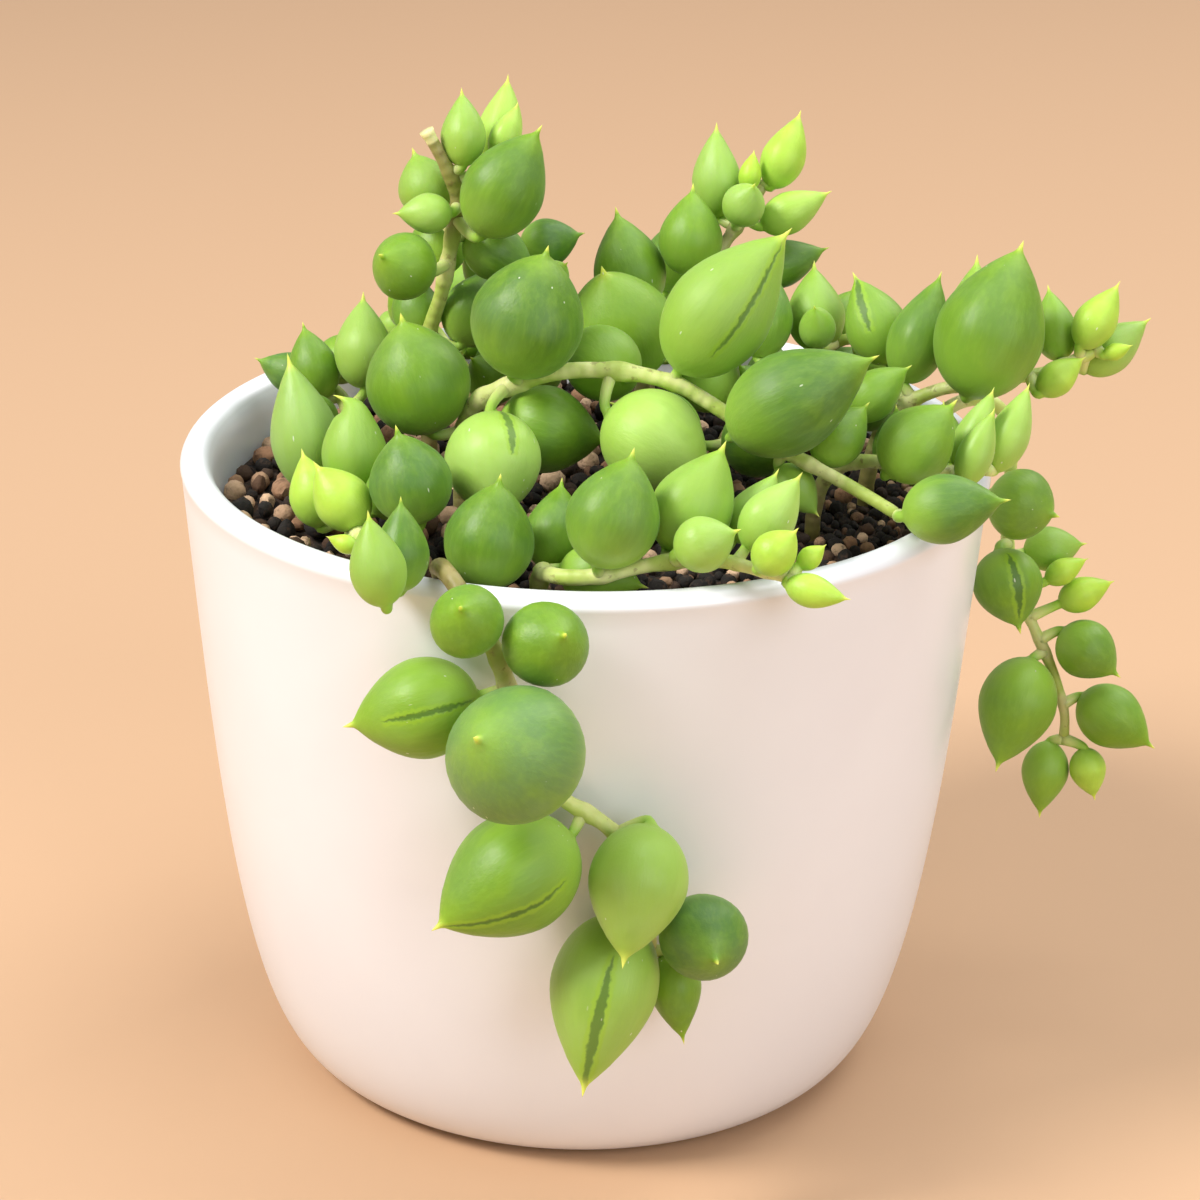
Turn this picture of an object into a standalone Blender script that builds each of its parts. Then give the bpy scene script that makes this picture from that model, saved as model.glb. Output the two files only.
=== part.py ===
"""Potted string of tears: a trailing succulent with plump, pointed leaves, in a plain white ceramic pot.

Sizes in the tables are millimetres. The origin is the centre of the pot's underside, +Z is up,
and +X is to the right for someone who looks along +Y.
"""

import math
from collections import namedtuple

import bmesh
import bpy
import numpy as np

MM = 0.001
ROUND_STEPS = 36
WELD = 0.00001
SCREW_MERGE = 0.0001
SHARP_ANGLE = 50

# Pot: turned ceramic, with a rounded rim, nearly straight sides and a rounded foot
POT_HEIGHT = 72.5
RIM_RADIUS = 45.0
SIDE_TAPER = 6.0
FOOT_RADIUS = 26.5
FOOT_ROUND_HEIGHT = 65.0
FOOT_ROUND_POWER = 3.6
WALL = 3.4
FLOOR = 5.0
RIM_POINTS = 7
INNER_HEIGHTS = (FLOOR, 8.0, 16.0, 30.0, 48.0)
OUTER_HEIGHTS = (54.0, 38.0, 25.0, 14.0, 7.0, 2.8, 0.7)

# Soil: coarse granules that fill the pot to just under its rim
SOIL_TOP = 66.5
SOIL_GAP = 0.3
GRAIN_RELIEF = 0.55
GRAIN_RINGS = 8
GRAIN_WAVES = ((2.4, 2.1), (-0.9, 1.3))
FLAT_EDGE = 1.0
SOIL_HEIGHTS = (48.0, 30.0, 16.0, 8.0, FLOOR + SOIL_GAP)
HOLE_RADIUS = 1.8
HOLE_DEPTH = 8.5
HOLE_ABOVE = 2.0
HOLE_SIDES = 8

# Stems and petioles
ROOT_DEPTH = HOLE_DEPTH - SOIL_GAP
ROOT_RISE = 1.2
ROUTE_SAMPLES = 12
STEM_STEP = 4.8
STEM_SIDES = 6
PETIOLE_RADIUS = 0.55
PETIOLE_FLARE = 1.15
PETIOLE_BEND = 0.3
LONG_PETIOLE = 3.2
FINE_STEP = 0.5
FILLER_STEP = 1.0

# Leaves
BIG_LEAF_WIDTH = 8.2
NIB = 1.1
FULL_NIB_WIDTH = 8.0
BIG_STATIONS = (0.09, 0.32, 0.66, 0.92)
SMALL_STATIONS = (0.12, 0.42, 0.82)
SLIM_SHAPE = 0.55
ROUND_SHAPE = 0.95
WIDEST = (0.41, 0.48)
TIP_BULGE = (1.65, 2.0)
TIP_POWER = (1.0, 0.72)
FULLNESS = {8: 1.045, 6: 1.07}

# Leaves placed by rule: spirally round the stem, leaning along it, up where it climbs, down where it hangs
GOLDEN_ANGLE = 137.5
STANDOFF = 2.6
LEAN = 0.5
LIFT = 0.7
DROP = -0.5
HANGING = -0.5
SWAY = 0.3
SIZE_SPREAD = (0.88, 1.08)
TIP_SHRINK = 0.45
TIP_YOUTH = 0.7

# Settling: how far leaves keep from each other, from other stems, from the pot and from the soil
SETTLE_ROUNDS = 260
SETTLE_STEP = 0.6
TOUCH_GAP = 1.0
SELF_GAP = 0.35
SPRING = 0.02
STEM_SAMPLE = 1.2
NEAR = 9.0
BASE_SHARE = 0.3
WALL_SAMPLES = 40
BALL_SHARES = np.array((0.1, 0.26, 0.44, 0.62, 0.78, 0.9, 0.98))

Strand = namedtuple("Strand", "root route thick leaves filler", defaults=(None,))
Leaf = namedtuple("Leaf", "base heading rise length width youth")
Filler = namedtuple("Filler", "first last count length width seed")


def leaf(x, y, z, heading, rise, length, width, youth=0.0):
    """One leaf: its base, where it points, its size, and its youth: 1 newest, 0 old, below 0 darkest."""
    return Leaf((x, y, z), heading, rise, length, width, youth)


# Each strand is rooted in the soil at root and follows route.
# Its thickness goes from the first value to the second. A filler is a run of leaves placed by rule:
# the first and last share of the stem, how many, their length and width, and the seed of their draws.
STRANDS = {
    "strand_upright_left": Strand(
        root=(-18, 10.5),
        route=[(-18.2, 9.5, 80), (-16.5, 8.5, 87), (-15.3, 7.5, 93.5), (-14.6, 7, 98.5),
               (-16, 6.3, 102.5), (-18, 6, 106.3)],
        thick=(2.2, 1.5),
        leaves=[
            leaf(-14.5, 6, 101.6, 95, 74, 8.6, 5.1, 0.55),
            leaf(-11, 12, 100.8, 60, 70, 10.2, 5.0, 0.8),
            leaf(-10.5, 8.5, 102.3, 40, 62, 6.8, 3.4, 0.8),
            leaf(-12.5, 4, 95.8, 5, 62, 14.0, 9.2, 0.1),
            leaf(-17, 9.8, 95.4, 150, 66, 8.2, 6.6, 0.5),
            leaf(-15.2, 4.5, 97.1, 195, 3, 6.6, 4.5, 0.6),
            leaf(-18.2, 4, 91.3, 235, 28, 8.8, 7.3, 0.3),
            leaf(-13.8, 8.5, 93.5, 355, -25, 9.5, 6.6, 0.1),
            leaf(-15.5, 10.5, 81, 55, 55, 10.0, 7.2, 0.1),
            leaf(-20.5, 9, 79.5, 110, 62, 8.5, 5.6, 0.2),
            leaf(-16.5, 10.5, 89, 100, 35, 9.0, 6.4, 0.3),
        ],
    ),
    "strand_upright_centre": Strand(
        root=(6, 14.5),
        route=[(6.5, 14, 76), (8, 13.5, 81), (11, 14.5, 85.5), (14.5, 17, 89.5), (17.5, 19, 93.5),
               (20, 20.3, 97.5)],
        thick=(2.2, 1.3),
        leaves=[
            leaf(6.2, 13, 83, 140, 72, 12.5, 8.3, 0.1),
            leaf(6.1, 10, 77.8, 225, 68, 15.0, 12.0, 0.4),
            leaf(11, 15.2, 86.5, 85, 78, 10.5, 7.2, 0.3),
            leaf(15, 19, 92.9, 105, 78, 10.9, 5.7, 0.6),
            leaf(19.3, 18.8, 96.2, 45, 60, 9.5, 5.0, 0.9),
            leaf(16.5, 16, 93.8, 300, 55, 6.5, 4.8, 0.6),
            leaf(19.3, 17.3, 93, 10, 26, 9.0, 4.7, 0.8),
            leaf(20.2, 15.5, 85.8, 5, 18, 9.5, 5.6, 0.1),
            leaf(18.2, 18.4, 96.6, 60, 75, 4.8, 2.6, 1.0),
            leaf(12.5, 18.5, 87.5, 110, 25, 9.5, 6.4, 0.3),
        ],
    ),
    "strand_arching": Strand(
        root=(-13.5, -5),
        route=[(-13.2, -7, 76), (-11.8, -9, 80.3), (-8, -11, 83), (-3, -12.2, 85), (3, -13, 85.5),
               (9, -14, 84.7), (13, -14.8, 82.8), (17.5, -16.5, 80.4), (22, -18.8, 78.4),
               (26.5, -21.2, 76.8), (30.5, -23.6, 75.3), (33, -25, 74.2)],
        thick=(2.4, 1.5),
        leaves=[
            leaf(-7.8, -13, 84.4, 350, 75, 15.0, 12.2, -0.12),
            leaf(9.7, -14.2, 86, 12, 52, 19.4, 11.0, 0.5),
            leaf(15, -19.3, 79, 355, 33, 17.8, 11.0, -0.08),
            leaf(2.4, -14, 81.9, 335, -22, 13.4, 10.9, 0.75),
            leaf(-8, -11.8, 80, 352, -8, 12.5, 9.5, 0.0),
            leaf(4, -10.5, 83.3, 125, 6, 11.0, 8.4, 0.3),
            leaf(-10.8, -14.8, 81, 278, -42, 13.0, 10.2, 0.7),
            leaf(-16, -9.3, 74.8, 170, 76, 13.8, 11.2, 0.2),
            leaf(25.5, -18.8, 77.5, 20, 46, 8.5, 5.7, 0.2),
            leaf(21, -17, 77, 325, -40, 7.0, 4.6, 0.5),
            leaf(32, -27.4, 72.4, 356, 12, 11.3, 7.2, 0.1),
        ],
    ),
    "strand_middle": Strand(
        root=(15, 3),
        route=[(16, 3.2, 72.5), (18.5, 4.3, 76.5), (21, 5.5, 79.5)],
        thick=(2.1, 1.5),
        leaves=[
            leaf(21.6, 6.2, 80.3, 75, 66, 11.0, 6.6, 0.1),
            leaf(17, -1, 74.5, 292, 4, 11.5, 7.6, 0.0),
            leaf(12, 2, 73.8, 190, 28, 11.5, 8.2, 0.1),
            leaf(15.5, 7.5, 74.5, 110, 38, 10.5, 7.6, 0.2),
            leaf(22.6, 2, 75.8, 335, 45, 10.0, 6.6, 0.1),
        ],
    ),
    "strand_right_low": Strand(
        root=(25, -9),
        route=[(25.8, -10.2, 72), (28, -13, 75.3), (31, -15.3, 76.6), (35, -16.6, 76.4), (39, -16.4, 75.9),
               (43, -15, 75.8)],
        thick=(2.0, 1.3),
        leaves=[
            leaf(30.4, -18.2, 76, 10, 48, 10.9, 7.9, 0.3),
            leaf(29.8, -11.5, 77.6, 20, 36, 8.8, 5.4, 0.3),
            leaf(39.3, -17.6, 75.4, 25, 68, 9.0, 3.9, 0.6),
            leaf(41.2, -15.2, 75.2, 30, 64, 9.6, 4.0, 0.65),
            leaf(42.9, -14.2, 75.8, 44, 60, 10.3, 4.6, 0.65),
            leaf(38, -12.3, 75.2, 105, 65, 7.0, 3.6, 0.6),
            leaf(33.5, -13, 76.5, 95, 35, 9.5, 6.2, 0.2),
        ],
    ),
    "strand_right": Strand(
        root=(31.5, 1.5),
        route=[(32.3, 0.5, 73), (34.3, -1, 77.3), (37.8, -2.4, 80), (41.5, -3, 81.2), (46, -2.8, 81.8),
               (50, -2, 82.4), (53.3, -1.2, 83.6), (56, -0.7, 84.6)],
        thick=(2.1, 1.2),
        leaves=[
            leaf(40.2, -5, 80.5, 35, 68, 18.0, 11.8, 0.2),
            leaf(40, 0.6, 82, 85, 66, 12.8, 7.2, 0.5),
            leaf(35.8, -0.3, 79.6, 48, 63, 13.0, 6.8, 0.1),
            leaf(34, 3.6, 81, 140, 58, 11.2, 7.0, 0.4),
            leaf(31.6, -1.5, 76, 300, 42, 8.5, 6.3, 0.0),
            leaf(52.4, 0.6, 83, 110, 62, 8.6, 4.8, 0.4),
            leaf(53.6, -1, 84.6, 30, 54, 8.5, 4.8, 0.9),
            leaf(54.8, 0.5, 82, 22, 33, 9.6, 5.3, 0.6),
            leaf(49, -4, 81, 18, 36, 6.5, 3.8, 0.9),
            leaf(56.4, -1.2, 84.4, 350, 25, 3.4, 1.9, 1.0),
        ],
    ),
    "strand_front": Strand(
        root=(-4.6, -31.6),
        route=[(-4.2, -33.6, 70.6), (-3.6, -36.4, 71.6), (-1.4, -38.2, 72), (2, -38.8, 72.5),
               (6, -38.6, 73.5), (10, -38.6, 74.2), (14, -39.4, 74.6), (18, -41.4, 74.4), (21, -43.3, 74.4)],
        thick=(2.1, 1.3),
        leaves=[
            leaf(2.6, -37.6, 71, 26, 72, 12.8, 9.4, 0.2),
            leaf(8.7, -35.8, 73.6, 25, 60, 12.8, 8.3, 0.5),
            leaf(13.4, -33.8, 75.3, 30, 52, 8.8, 4.8, 0.6),
            leaf(16.4, -37.2, 75.2, 20, 52, 9.6, 5.6, 0.7),
            leaf(9.6, -40.4, 75.2, 352, 26, 7.2, 5.7, 0.6),
            leaf(17.8, -42.8, 74.2, 350, 50, 6.2, 4.4, 0.9),
            leaf(21.6, -42.6, 75.4, 20, 35, 3.6, 2.3, 1.0),
            leaf(20.4, -44, 74.2, 340, -6, 6.8, 3.4, 0.9),
            leaf(-2.6, -36, 70.8, 345, -6, 9.5, 6.2, 0.4),
            leaf(-2.8, -32.2, 69.6, 80, 55, 10.0, 6.6, 0.0),
        ],
    ),
    "strand_left": Strand(
        root=(-25, -12),
        route=[(-25.2, -14.5, 70.6), (-24.8, -20, 71.6), (-23.6, -27, 72), (-22.4, -33, 73),
               (-21.4, -38, 74.5), (-20.4, -42.3, 74.4), (-19.4, -46.2, 72.6)],
        thick=(2.2, 1.6),
        leaves=[
            leaf(-29.4, -9, 69.6, 140, 75, 15.6, 7.8, 0.72),
            leaf(-23.6, -15.6, 71.8, 100, 78, 12.2, 7.2, 0.5),
            leaf(-17.8, -27, 73, 170, 76, 10.8, 8.7, 0.0),
            leaf(-27.8, -20, 70, 130, 68, 8.6, 5.2, 0.9),
            leaf(-21.6, -26.4, 71.6, 170, 52, 8.6, 6.0, 0.9),
            leaf(-18.5, -48, 73.1, 140, 76, 9.8, 5.6, 0.5),
            leaf(-17.2, -44.6, 69.4, 90, 78, 9.6, 5.6, 0.0),
            leaf(-22.6, -38.8, 75, 165, 15, 3.6, 2.0, 1.0),
            leaf(-22, -20.5, 72, 20, 40, 9.0, 6.4, 0.1),
        ],
    ),
    "strand_left_back": Strand(
        root=(-27, 5),
        route=[(-26.7, 6.5, 70.5), (-27, 8.5, 72.6), (-28.6, 11.5, 74), (-30.5, 14, 75)],
        thick=(2.0, 1.4),
        leaves=[
            leaf(-22.9, 8.5, 76.5, 95, 66, 11.0, 6.8, 0.6),
            leaf(-29.2, 12.2, 71.4, 135, 71, 9.2, 6.0, 0.0),
            leaf(-30.6, 14, 74.6, 175, 20, 7.6, 4.8, 0.1),
            leaf(-28.5, 4.5, 71.5, 200, 40, 8.0, 5.6, 0.2),
            leaf(-29.4, 16, 74.4, 85, 12, 8.2, 5.6, 0.3),
        ],
    ),
    "strand_trailing_front": Strand(
        root=(-14, -30),
        route=[(-14.2, -33.5, 70.2), (-14.5, -38, 72.6), (-14, -42.2, 74.4), (-12.4, -45.8, 74),
               (-10.4, -47.4, 71), (-8.2, -47.3, 67), (-6.8, -46.5, 61.5), (-4.9, -46.2, 56),
               (-2.2, -46, 51.4), (2.8, -45.6, 47.8), (5.8, -44.7, 43.6), (7.2, -43.8, 37), (7.8, -43.2, 32)],
        thick=(2.4, 1.6),
        leaves=[
            leaf(-10, -37.6, 68.2, 20, 80, 12.4, 9.2, 0.0),
            leaf(-10.4, -46.8, 69.8, 262, 40, 8.6, 7.3, 0.2),
            leaf(-5, -46.6, 67.5, 295, 32, 9.8, 8.6, 0.2),
            leaf(-6.9, -46.5, 63.1, 185, -13, 14.0, 10.4, 0.4),
            leaf(-5.2, -49, 58, 238, 33, 15.4, 13.8, 0.1),
            leaf(1.2, -46, 47.2, 210, -24, 17.5, 12.5, 0.3),
            leaf(5.9, -45.7, 48.3, 253, -54, 15.0, 10.0, 0.6),
            leaf(5.2, -43.8, 38.7, 245, -62, 19.2, 11.4, 0.55),
            leaf(11.8, -44.4, 36.6, 283, 0, 10.2, 9.2, 0.1),
            leaf(9.4, -43.6, 32.3, 300, -72, 10.0, 5.6, 0.2),
        ],
    ),
    "strand_trailing_right": Strand(
        root=(37, 8),
        route=[(38, 8.2, 71), (41.5, 8.8, 74.6), (45.5, 9.6, 75), (48.4, 10.6, 71.5), (48.8, 11, 65),
               (48.8, 10.8, 58.5), (50, 9.3, 52.5), (52.3, 7.8, 47.8), (55, 7.2, 42), (56.4, 7, 37.5),
               (56.6, 7, 34)],
        thick=(2.0, 1.2),
        leaves=[
            leaf(45.8, 8.9, 64, 325, -4, 8.8, 8.4, 0.1),
            leaf(48, 8.8, 57.3, 292, -52, 10.2, 8.0, 0.1),
            leaf(51.2, 11.6, 55.4, 5, 8, 7.5, 5.2, 0.5),
            leaf(53.4, 8, 53.4, 12, 27, 5.6, 3.1, 1.0),
            leaf(55, 7.8, 50.4, 9, 22, 7.0, 4.0, 1.0),
            leaf(54.6, 7.8, 47.8, 330, -28, 8.8, 6.9, 0.2),
            leaf(53, 6.8, 44.8, 240, -52, 14.1, 9.2, 0.25),
            leaf(56.5, 7.4, 36.6, 334, -26, 10.6, 7.4, 0.25),
            leaf(56.3, 7.2, 33.6, 250, -70, 9.2, 5.5, 0.4),
            leaf(58.6, 6, 34.2, 310, -68, 6.4, 4.3, 0.9),
        ],
    ),
    "strand_back_left": Strand(
        root=(-8, 22),
        route=[(-8.2, 21, 74), (-8, 18.5, 81), (-8, 16.5, 86), (-8, 15.5, 89.5)],
        thick=(2.0, 1.3),
        leaves=[leaf(-7.6, 14.2, 89, 5, 15, 7.6, 5.6, 0.0)],
        filler=Filler(0.05, 0.90, 8, 10.5, 7.0, 11),
    ),
    "strand_back_right": Strand(
        root=(22, 17),
        route=[(22.8, 17, 73), (25, 15.3, 78), (28, 12.8, 80.5), (31.5, 12.5, 81.5)],
        thick=(2.0, 1.3),
        leaves=[leaf(25.8, 11, 79.4, 100, 66, 10.4, 6.7, 0.5)],
        filler=Filler(0.02, 0.97, 7, 10.0, 6.6, 23),
    ),
    "strand_back_low": Strand(
        root=(-14, 27),
        route=[(-14.8, 29, 70.5), (-17, 32, 72.8), (-19.5, 36, 74.4), (-21, 40.5, 74.4)],
        thick=(2.0, 1.3),
        leaves=[],
        filler=Filler(0.05, 1.0, 8, 9.0, 6.2, 31),
    ),
    "strand_trailing_back": Strand(
        root=(7, 32),
        route=[(7.2, 34.5, 72), (8, 39, 75), (9.2, 44, 75), (10, 48, 71.5), (10.2, 48.6, 65), (10.8, 48, 58),
               (12, 47.6, 51), (13.2, 47, 44)],
        thick=(2.2, 1.3),
        leaves=[],
        filler=Filler(0.09, 1.0, 13, 11.5, 8.2, 47),
    ),
}

# Colours and roughness
OLD_GREEN = np.array((0.15, 0.31, 0.08))
YOUNG_GREEN = np.array((0.38, 0.54, 0.15))
LEAF_ROUGHNESS = 0.45
POT_WHITE = (0.87, 0.85, 0.83)
POT_ROUGHNESS = 0.35
SOIL_BROWN = (0.12, 0.07, 0.045)
SOIL_ROUGHNESS = 0.95


def aim_of(heading, rise):
    """Unit vector for a compass heading from +X towards +Y and a rise above level, in degrees."""
    turn, lift = math.radians(heading), math.radians(rise)
    level = math.cos(lift)
    return np.array((level * math.cos(turn), level * math.sin(turn), math.sin(lift)))


def pot_radius(z):
    """Outer radius of the pot at height z."""
    side = RIM_RADIUS - SIDE_TAPER * (1 - z / POT_HEIGHT)
    low = min(max(1 - z / FOOT_ROUND_HEIGHT, 0.0), 1.0)
    rounding = (1 - low**FOOT_ROUND_POWER) ** (1 / FOOT_ROUND_POWER)
    return FOOT_RADIUS + (side - FOOT_RADIUS) * rounding


def cavity_radius(z):
    """Inner radius of the pot at height z, above its floor."""
    return max(pot_radius(z) - WALL, FOOT_RADIUS - WALL)


def smooth_route(points, step):
    """Evenly spaced points on a Catmull-Rom curve through the given points."""
    points = np.array(points, float)
    ends = np.vstack((2 * points[0] - points[1], points, 2 * points[-1] - points[-2]))
    dense = []
    for a, b, c, d in zip(ends, ends[1:], ends[2:], ends[3:]):
        for t in np.linspace(0, 1, ROUTE_SAMPLES, endpoint=False):
            dense.append(0.5 * (2 * b + (c - a) * t + (2 * a - 5 * b + 4 * c - d) * t**2
                                + (3 * b - a - 3 * c + d) * t**3))
    dense = np.array(dense + [points[-1]])
    along = np.concatenate(([0], np.cumsum(np.linalg.norm(np.diff(dense, axis=0), axis=1))))
    wanted = np.linspace(0, along[-1], max(4, round(along[-1] / step)) + 1)
    return np.column_stack([np.interp(wanted, along, dense[:, axis]) for axis in range(3)])


def strand_route(strand, step=STEM_STEP):
    """The stem's points: straight up out of its hole, and then along its route."""
    x, y = strand.root
    above = smooth_route([(x, y, SOIL_TOP + ROOT_RISE)] + strand.route, step)
    return np.vstack(((x, y, SOIL_TOP - ROOT_DEPTH), above))


def filler_leaves(strand):
    """A run of leaves set spirally round the stem, smaller and younger towards its tip."""
    rule = strand.filler
    if rule is None:
        return []
    draw = np.random.default_rng(rule.seed)
    stem = strand_route(strand, FILLER_STEP)[1:]
    found = []
    for i, share in enumerate(np.linspace(rule.first, rule.last, rule.count)):
        spot = round(share * (len(stem) - 1))
        low, high = max(spot - 1, 0), min(spot + 1, len(stem) - 1)
        along = (stem[high] - stem[low]) / np.linalg.norm(stem[high] - stem[low])
        side = np.cross(along, (0, 0, 1.0) if abs(along[2]) < 0.9 else (1.0, 0, 0))
        side /= np.linalg.norm(side)
        turn = math.radians(GOLDEN_ANGLE) * i + draw.uniform(-SWAY, SWAY)
        out = side * math.cos(turn) + np.cross(along, side) * math.sin(turn)
        aim = out + along * LEAN + np.array((0, 0, DROP if along[2] < HANGING else LIFT))
        aim /= np.linalg.norm(aim)
        heading = math.degrees(math.atan2(aim[1], aim[0]))
        rise = math.degrees(math.asin(aim[2]))
        base = stem[spot] + out * STANDOFF
        size = (1 - TIP_SHRINK * i / rule.count) * draw.uniform(*SIZE_SPREAD)
        youth = TIP_YOUTH * i / rule.count
        found.append(leaf(*base, heading, rise, rule.length * size, rule.width * size, youth))
    return found


def body_length(item):
    """Length of a leaf without its nib."""
    return item.length - NIB * min(item.width / FULL_NIB_WIDTH, 1)


def leaf_roundness(length, width):
    """0 for a slim leaf and 1 for a round one."""
    return min(max((width / length - SLIM_SHAPE) / (ROUND_SHAPE - SLIM_SHAPE), 0.0), 1.0)


def leaf_radius(share, length, width):
    """Radius of a leaf's body at a share of its length: round towards its base, drawn out to its tip."""
    roundness = leaf_roundness(length, width)
    widest, bulge, power = (slim + (full - slim) * roundness for slim, full in (WIDEST, TIP_BULGE, TIP_POWER))
    if share < widest:
        return width / 2 * math.sqrt(1 - (1 - share / widest) ** 2)
    return width / 2 * (1 - ((share - widest) / (1 - widest)) ** bulge) ** power


def wall_distance(places):
    """Distance from the wall's middle line, and the way from it, for points in the half-plane (r, z)."""
    heights = np.linspace(0, POT_HEIGHT - WALL / 2, WALL_SAMPLES)
    line = np.array([(pot_radius(z) - WALL / 2, z) for z in heights])
    away = places[:, None, :] - line[None]
    reach = np.linalg.norm(away, axis=2)
    nearest = reach.argmin(axis=1)
    rows = np.arange(len(places))
    return reach[rows, nearest], away[rows, nearest] / reach[rows, nearest, None]


def push_apart(places, others, wanted):
    """How far each place moves from its other until they are as far apart as wanted."""
    away = places - others
    distance = np.linalg.norm(away, axis=1) + 1e-6
    return away * (np.maximum(wanted - distance, 0) / distance)[:, None]


def push_from_pot(centres, radius):
    """How far each ball moves to clear the pot's wall and, inside the pot, the soil."""
    level = np.hypot(centres[:, 0], centres[:, 1])
    reach, out = wall_distance(np.column_stack((level, centres[:, 2])))
    deep = np.maximum(WALL / 2 + TOUCH_GAP + radius - reach, 0)
    push = np.column_stack((centres[:, :2] / level[:, None] * out[:, :1], out[:, 1])) * deep[:, None]
    sunk = SOIL_TOP + GRAIN_RELIEF + TOUCH_GAP + radius - centres[:, 2]
    push[:, 2] += np.maximum(sunk, 0) * (level < RIM_RADIUS - WALL)
    return push


def settle(leaves, owners, stems):
    """Shift leaves apart until none crosses another, a stem, the pot or the soil, each near its own place."""
    count, balls = len(leaves), len(BALL_SHARES)
    aims = np.array([aim_of(item.heading, item.rise) for item in leaves])
    bases = np.array([item.base for item in leaves], float)
    along = aims[:, None] * np.outer([item.length for item in leaves], BALL_SHARES)[..., None]
    radius = np.array([leaf_radius(s, item.length, item.width) for item in leaves for s in BALL_SHARES])
    which = np.repeat(np.arange(count), balls)
    owner = owners[which]
    share = np.tile(BALL_SHARES, count)
    centres = (bases[:, None] + along).reshape(-1, 3)

    apart = radius[:, None] + radius + np.where(owner[:, None] == owner, SELF_GAP, TOUCH_GAP)
    near = np.linalg.norm(centres[:, None] - centres, axis=2) < apart + NEAR
    first, second = np.nonzero(near & (which[:, None] != which))
    apart = apart[first, second]

    stem_points = np.vstack([points for points, _ in stems])
    stem_radius = np.concatenate([np.full(len(points), thick / 2) for points, thick in stems])
    stem_owner = np.concatenate([np.full(len(points), i) for i, (points, _) in enumerate(stems)])
    own = owner[:, None] == stem_owner
    clear = radius[:, None] + stem_radius + np.where(own, 0, TOUCH_GAP)
    near = np.linalg.norm(centres[:, None] - stem_points, axis=2) < clear + NEAR
    ball, stem = np.nonzero(near & ~(own & (share[:, None] < BASE_SHARE)))
    clear = clear[ball, stem]

    moved = np.zeros((count, 3))
    for _ in range(SETTLE_ROUNDS):
        centres = ((bases + moved)[:, None] + along).reshape(-1, 3)
        push = push_from_pot(centres, radius)
        from_leaves = 0.5 * push_apart(centres[first], centres[second], apart)
        from_stems = push_apart(centres[ball], stem_points[stem], clear)
        for axis in range(3):
            push[:, axis] += np.bincount(first, from_leaves[:, axis], len(centres))
            push[:, axis] += 0.5 * np.bincount(ball, from_stems[:, axis], len(centres))
        touched = np.bincount(which, np.linalg.norm(push, axis=1) > 0, count)
        step = np.column_stack([np.bincount(which, push[:, axis], count) for axis in range(3)])
        moved += SETTLE_STEP * step / np.maximum(touched, 1)[:, None] - SPRING * moved
    return bases + moved


def new_material(name, colour, roughness):
    material = bpy.data.materials.new(name)
    material.use_nodes = True
    shader = material.node_tree.nodes["Principled BSDF"]
    shader.inputs["Base Color"].default_value = (*colour, 1)
    shader.inputs["Roughness"].default_value = roughness
    material.diffuse_color = (*colour, 1)
    return material


def new_collection(name):
    collection = bpy.data.collections.new(name)
    bpy.context.scene.collection.children.link(collection)
    return collection


def new_tube(name, points, radii, sides, collection):
    """A closed tube along points in millimetres, with a radius at each point and an even count of sides."""
    curve = bpy.data.curves.new(name, "CURVE")
    curve.dimensions = "3D"
    curve.bevel_depth = 1.0
    curve.bevel_resolution = sides // 2 - 2
    curve.use_fill_caps = True
    spline = curve.splines.new("POLY")
    spline.points.add(len(points) - 1)
    for point, place, radius in zip(spline.points, points, radii):
        point.co = (*(np.asarray(place) * MM), 1)
        point.radius = radius * MM
    guide = bpy.data.objects.new(name + "_guide", curve)
    collection.objects.link(guide)
    solid = mesh_copy(guide, name, collection)
    bpy.data.objects.remove(guide)
    bpy.data.curves.remove(curve)
    return solid


def mesh_copy(source, name, collection):
    """A new mesh object with what source looks like once its modifiers are worked out, and welded."""
    graph = bpy.context.evaluated_depsgraph_get()
    mesh = bpy.data.meshes.new_from_object(source.evaluated_get(graph))
    bm = bmesh.new()
    bm.from_mesh(mesh)
    bmesh.ops.remove_doubles(bm, verts=bm.verts, dist=WELD)
    bmesh.ops.recalc_face_normals(bm, faces=bm.faces)
    bm.to_mesh(mesh)
    bm.free()
    mesh.name = name
    copy = bpy.data.objects.new(name, mesh)
    copy.matrix_world = source.matrix_world
    collection.objects.link(copy)
    return copy


def turned_solid(name, outline, collection):
    """A solid of revolution from (radius, height) points in millimetres, from the axis round to the axis."""
    mesh = bpy.data.meshes.new(name + "_outline")
    edges = [(i, i + 1) for i in range(len(outline) - 1)]
    mesh.from_pydata([(r * MM, 0, z * MM) for r, z in outline], edges, [])
    solid = bpy.data.objects.new(name, mesh)
    collection.objects.link(solid)
    screw = solid.modifiers.new("turn", "SCREW")
    screw.steps = ROUND_STEPS
    screw.render_steps = ROUND_STEPS
    screw.use_merge_vertices = True
    screw.merge_threshold = SCREW_MERGE
    return solid


def pot_outline():
    """From the middle of the inner floor, up the inside, over the rim and down to the underside."""
    inner = [(0, FLOOR)]
    inner += [(cavity_radius(z), z) for z in (*INNER_HEIGHTS, POT_HEIGHT - WALL / 2)]
    centre = pot_radius(POT_HEIGHT) - WALL / 2
    arc = [math.pi * (1 - i / (RIM_POINTS - 1)) for i in range(1, RIM_POINTS)]
    middle = POT_HEIGHT - WALL / 2
    rim = [(centre + WALL / 2 * math.cos(a), middle + WALL / 2 * math.sin(a)) for a in arc]
    outer = [(pot_radius(z), z) for z in OUTER_HEIGHTS]
    return inner + rim + outer + [(FOOT_RADIUS, 0), (0, 0)]


def build_pot(collection):
    pot = turned_solid("pot", pot_outline(), collection)
    pot.data.materials.append(new_material("white_glaze", POT_WHITE, POT_ROUGHNESS))
    return pot


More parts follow.
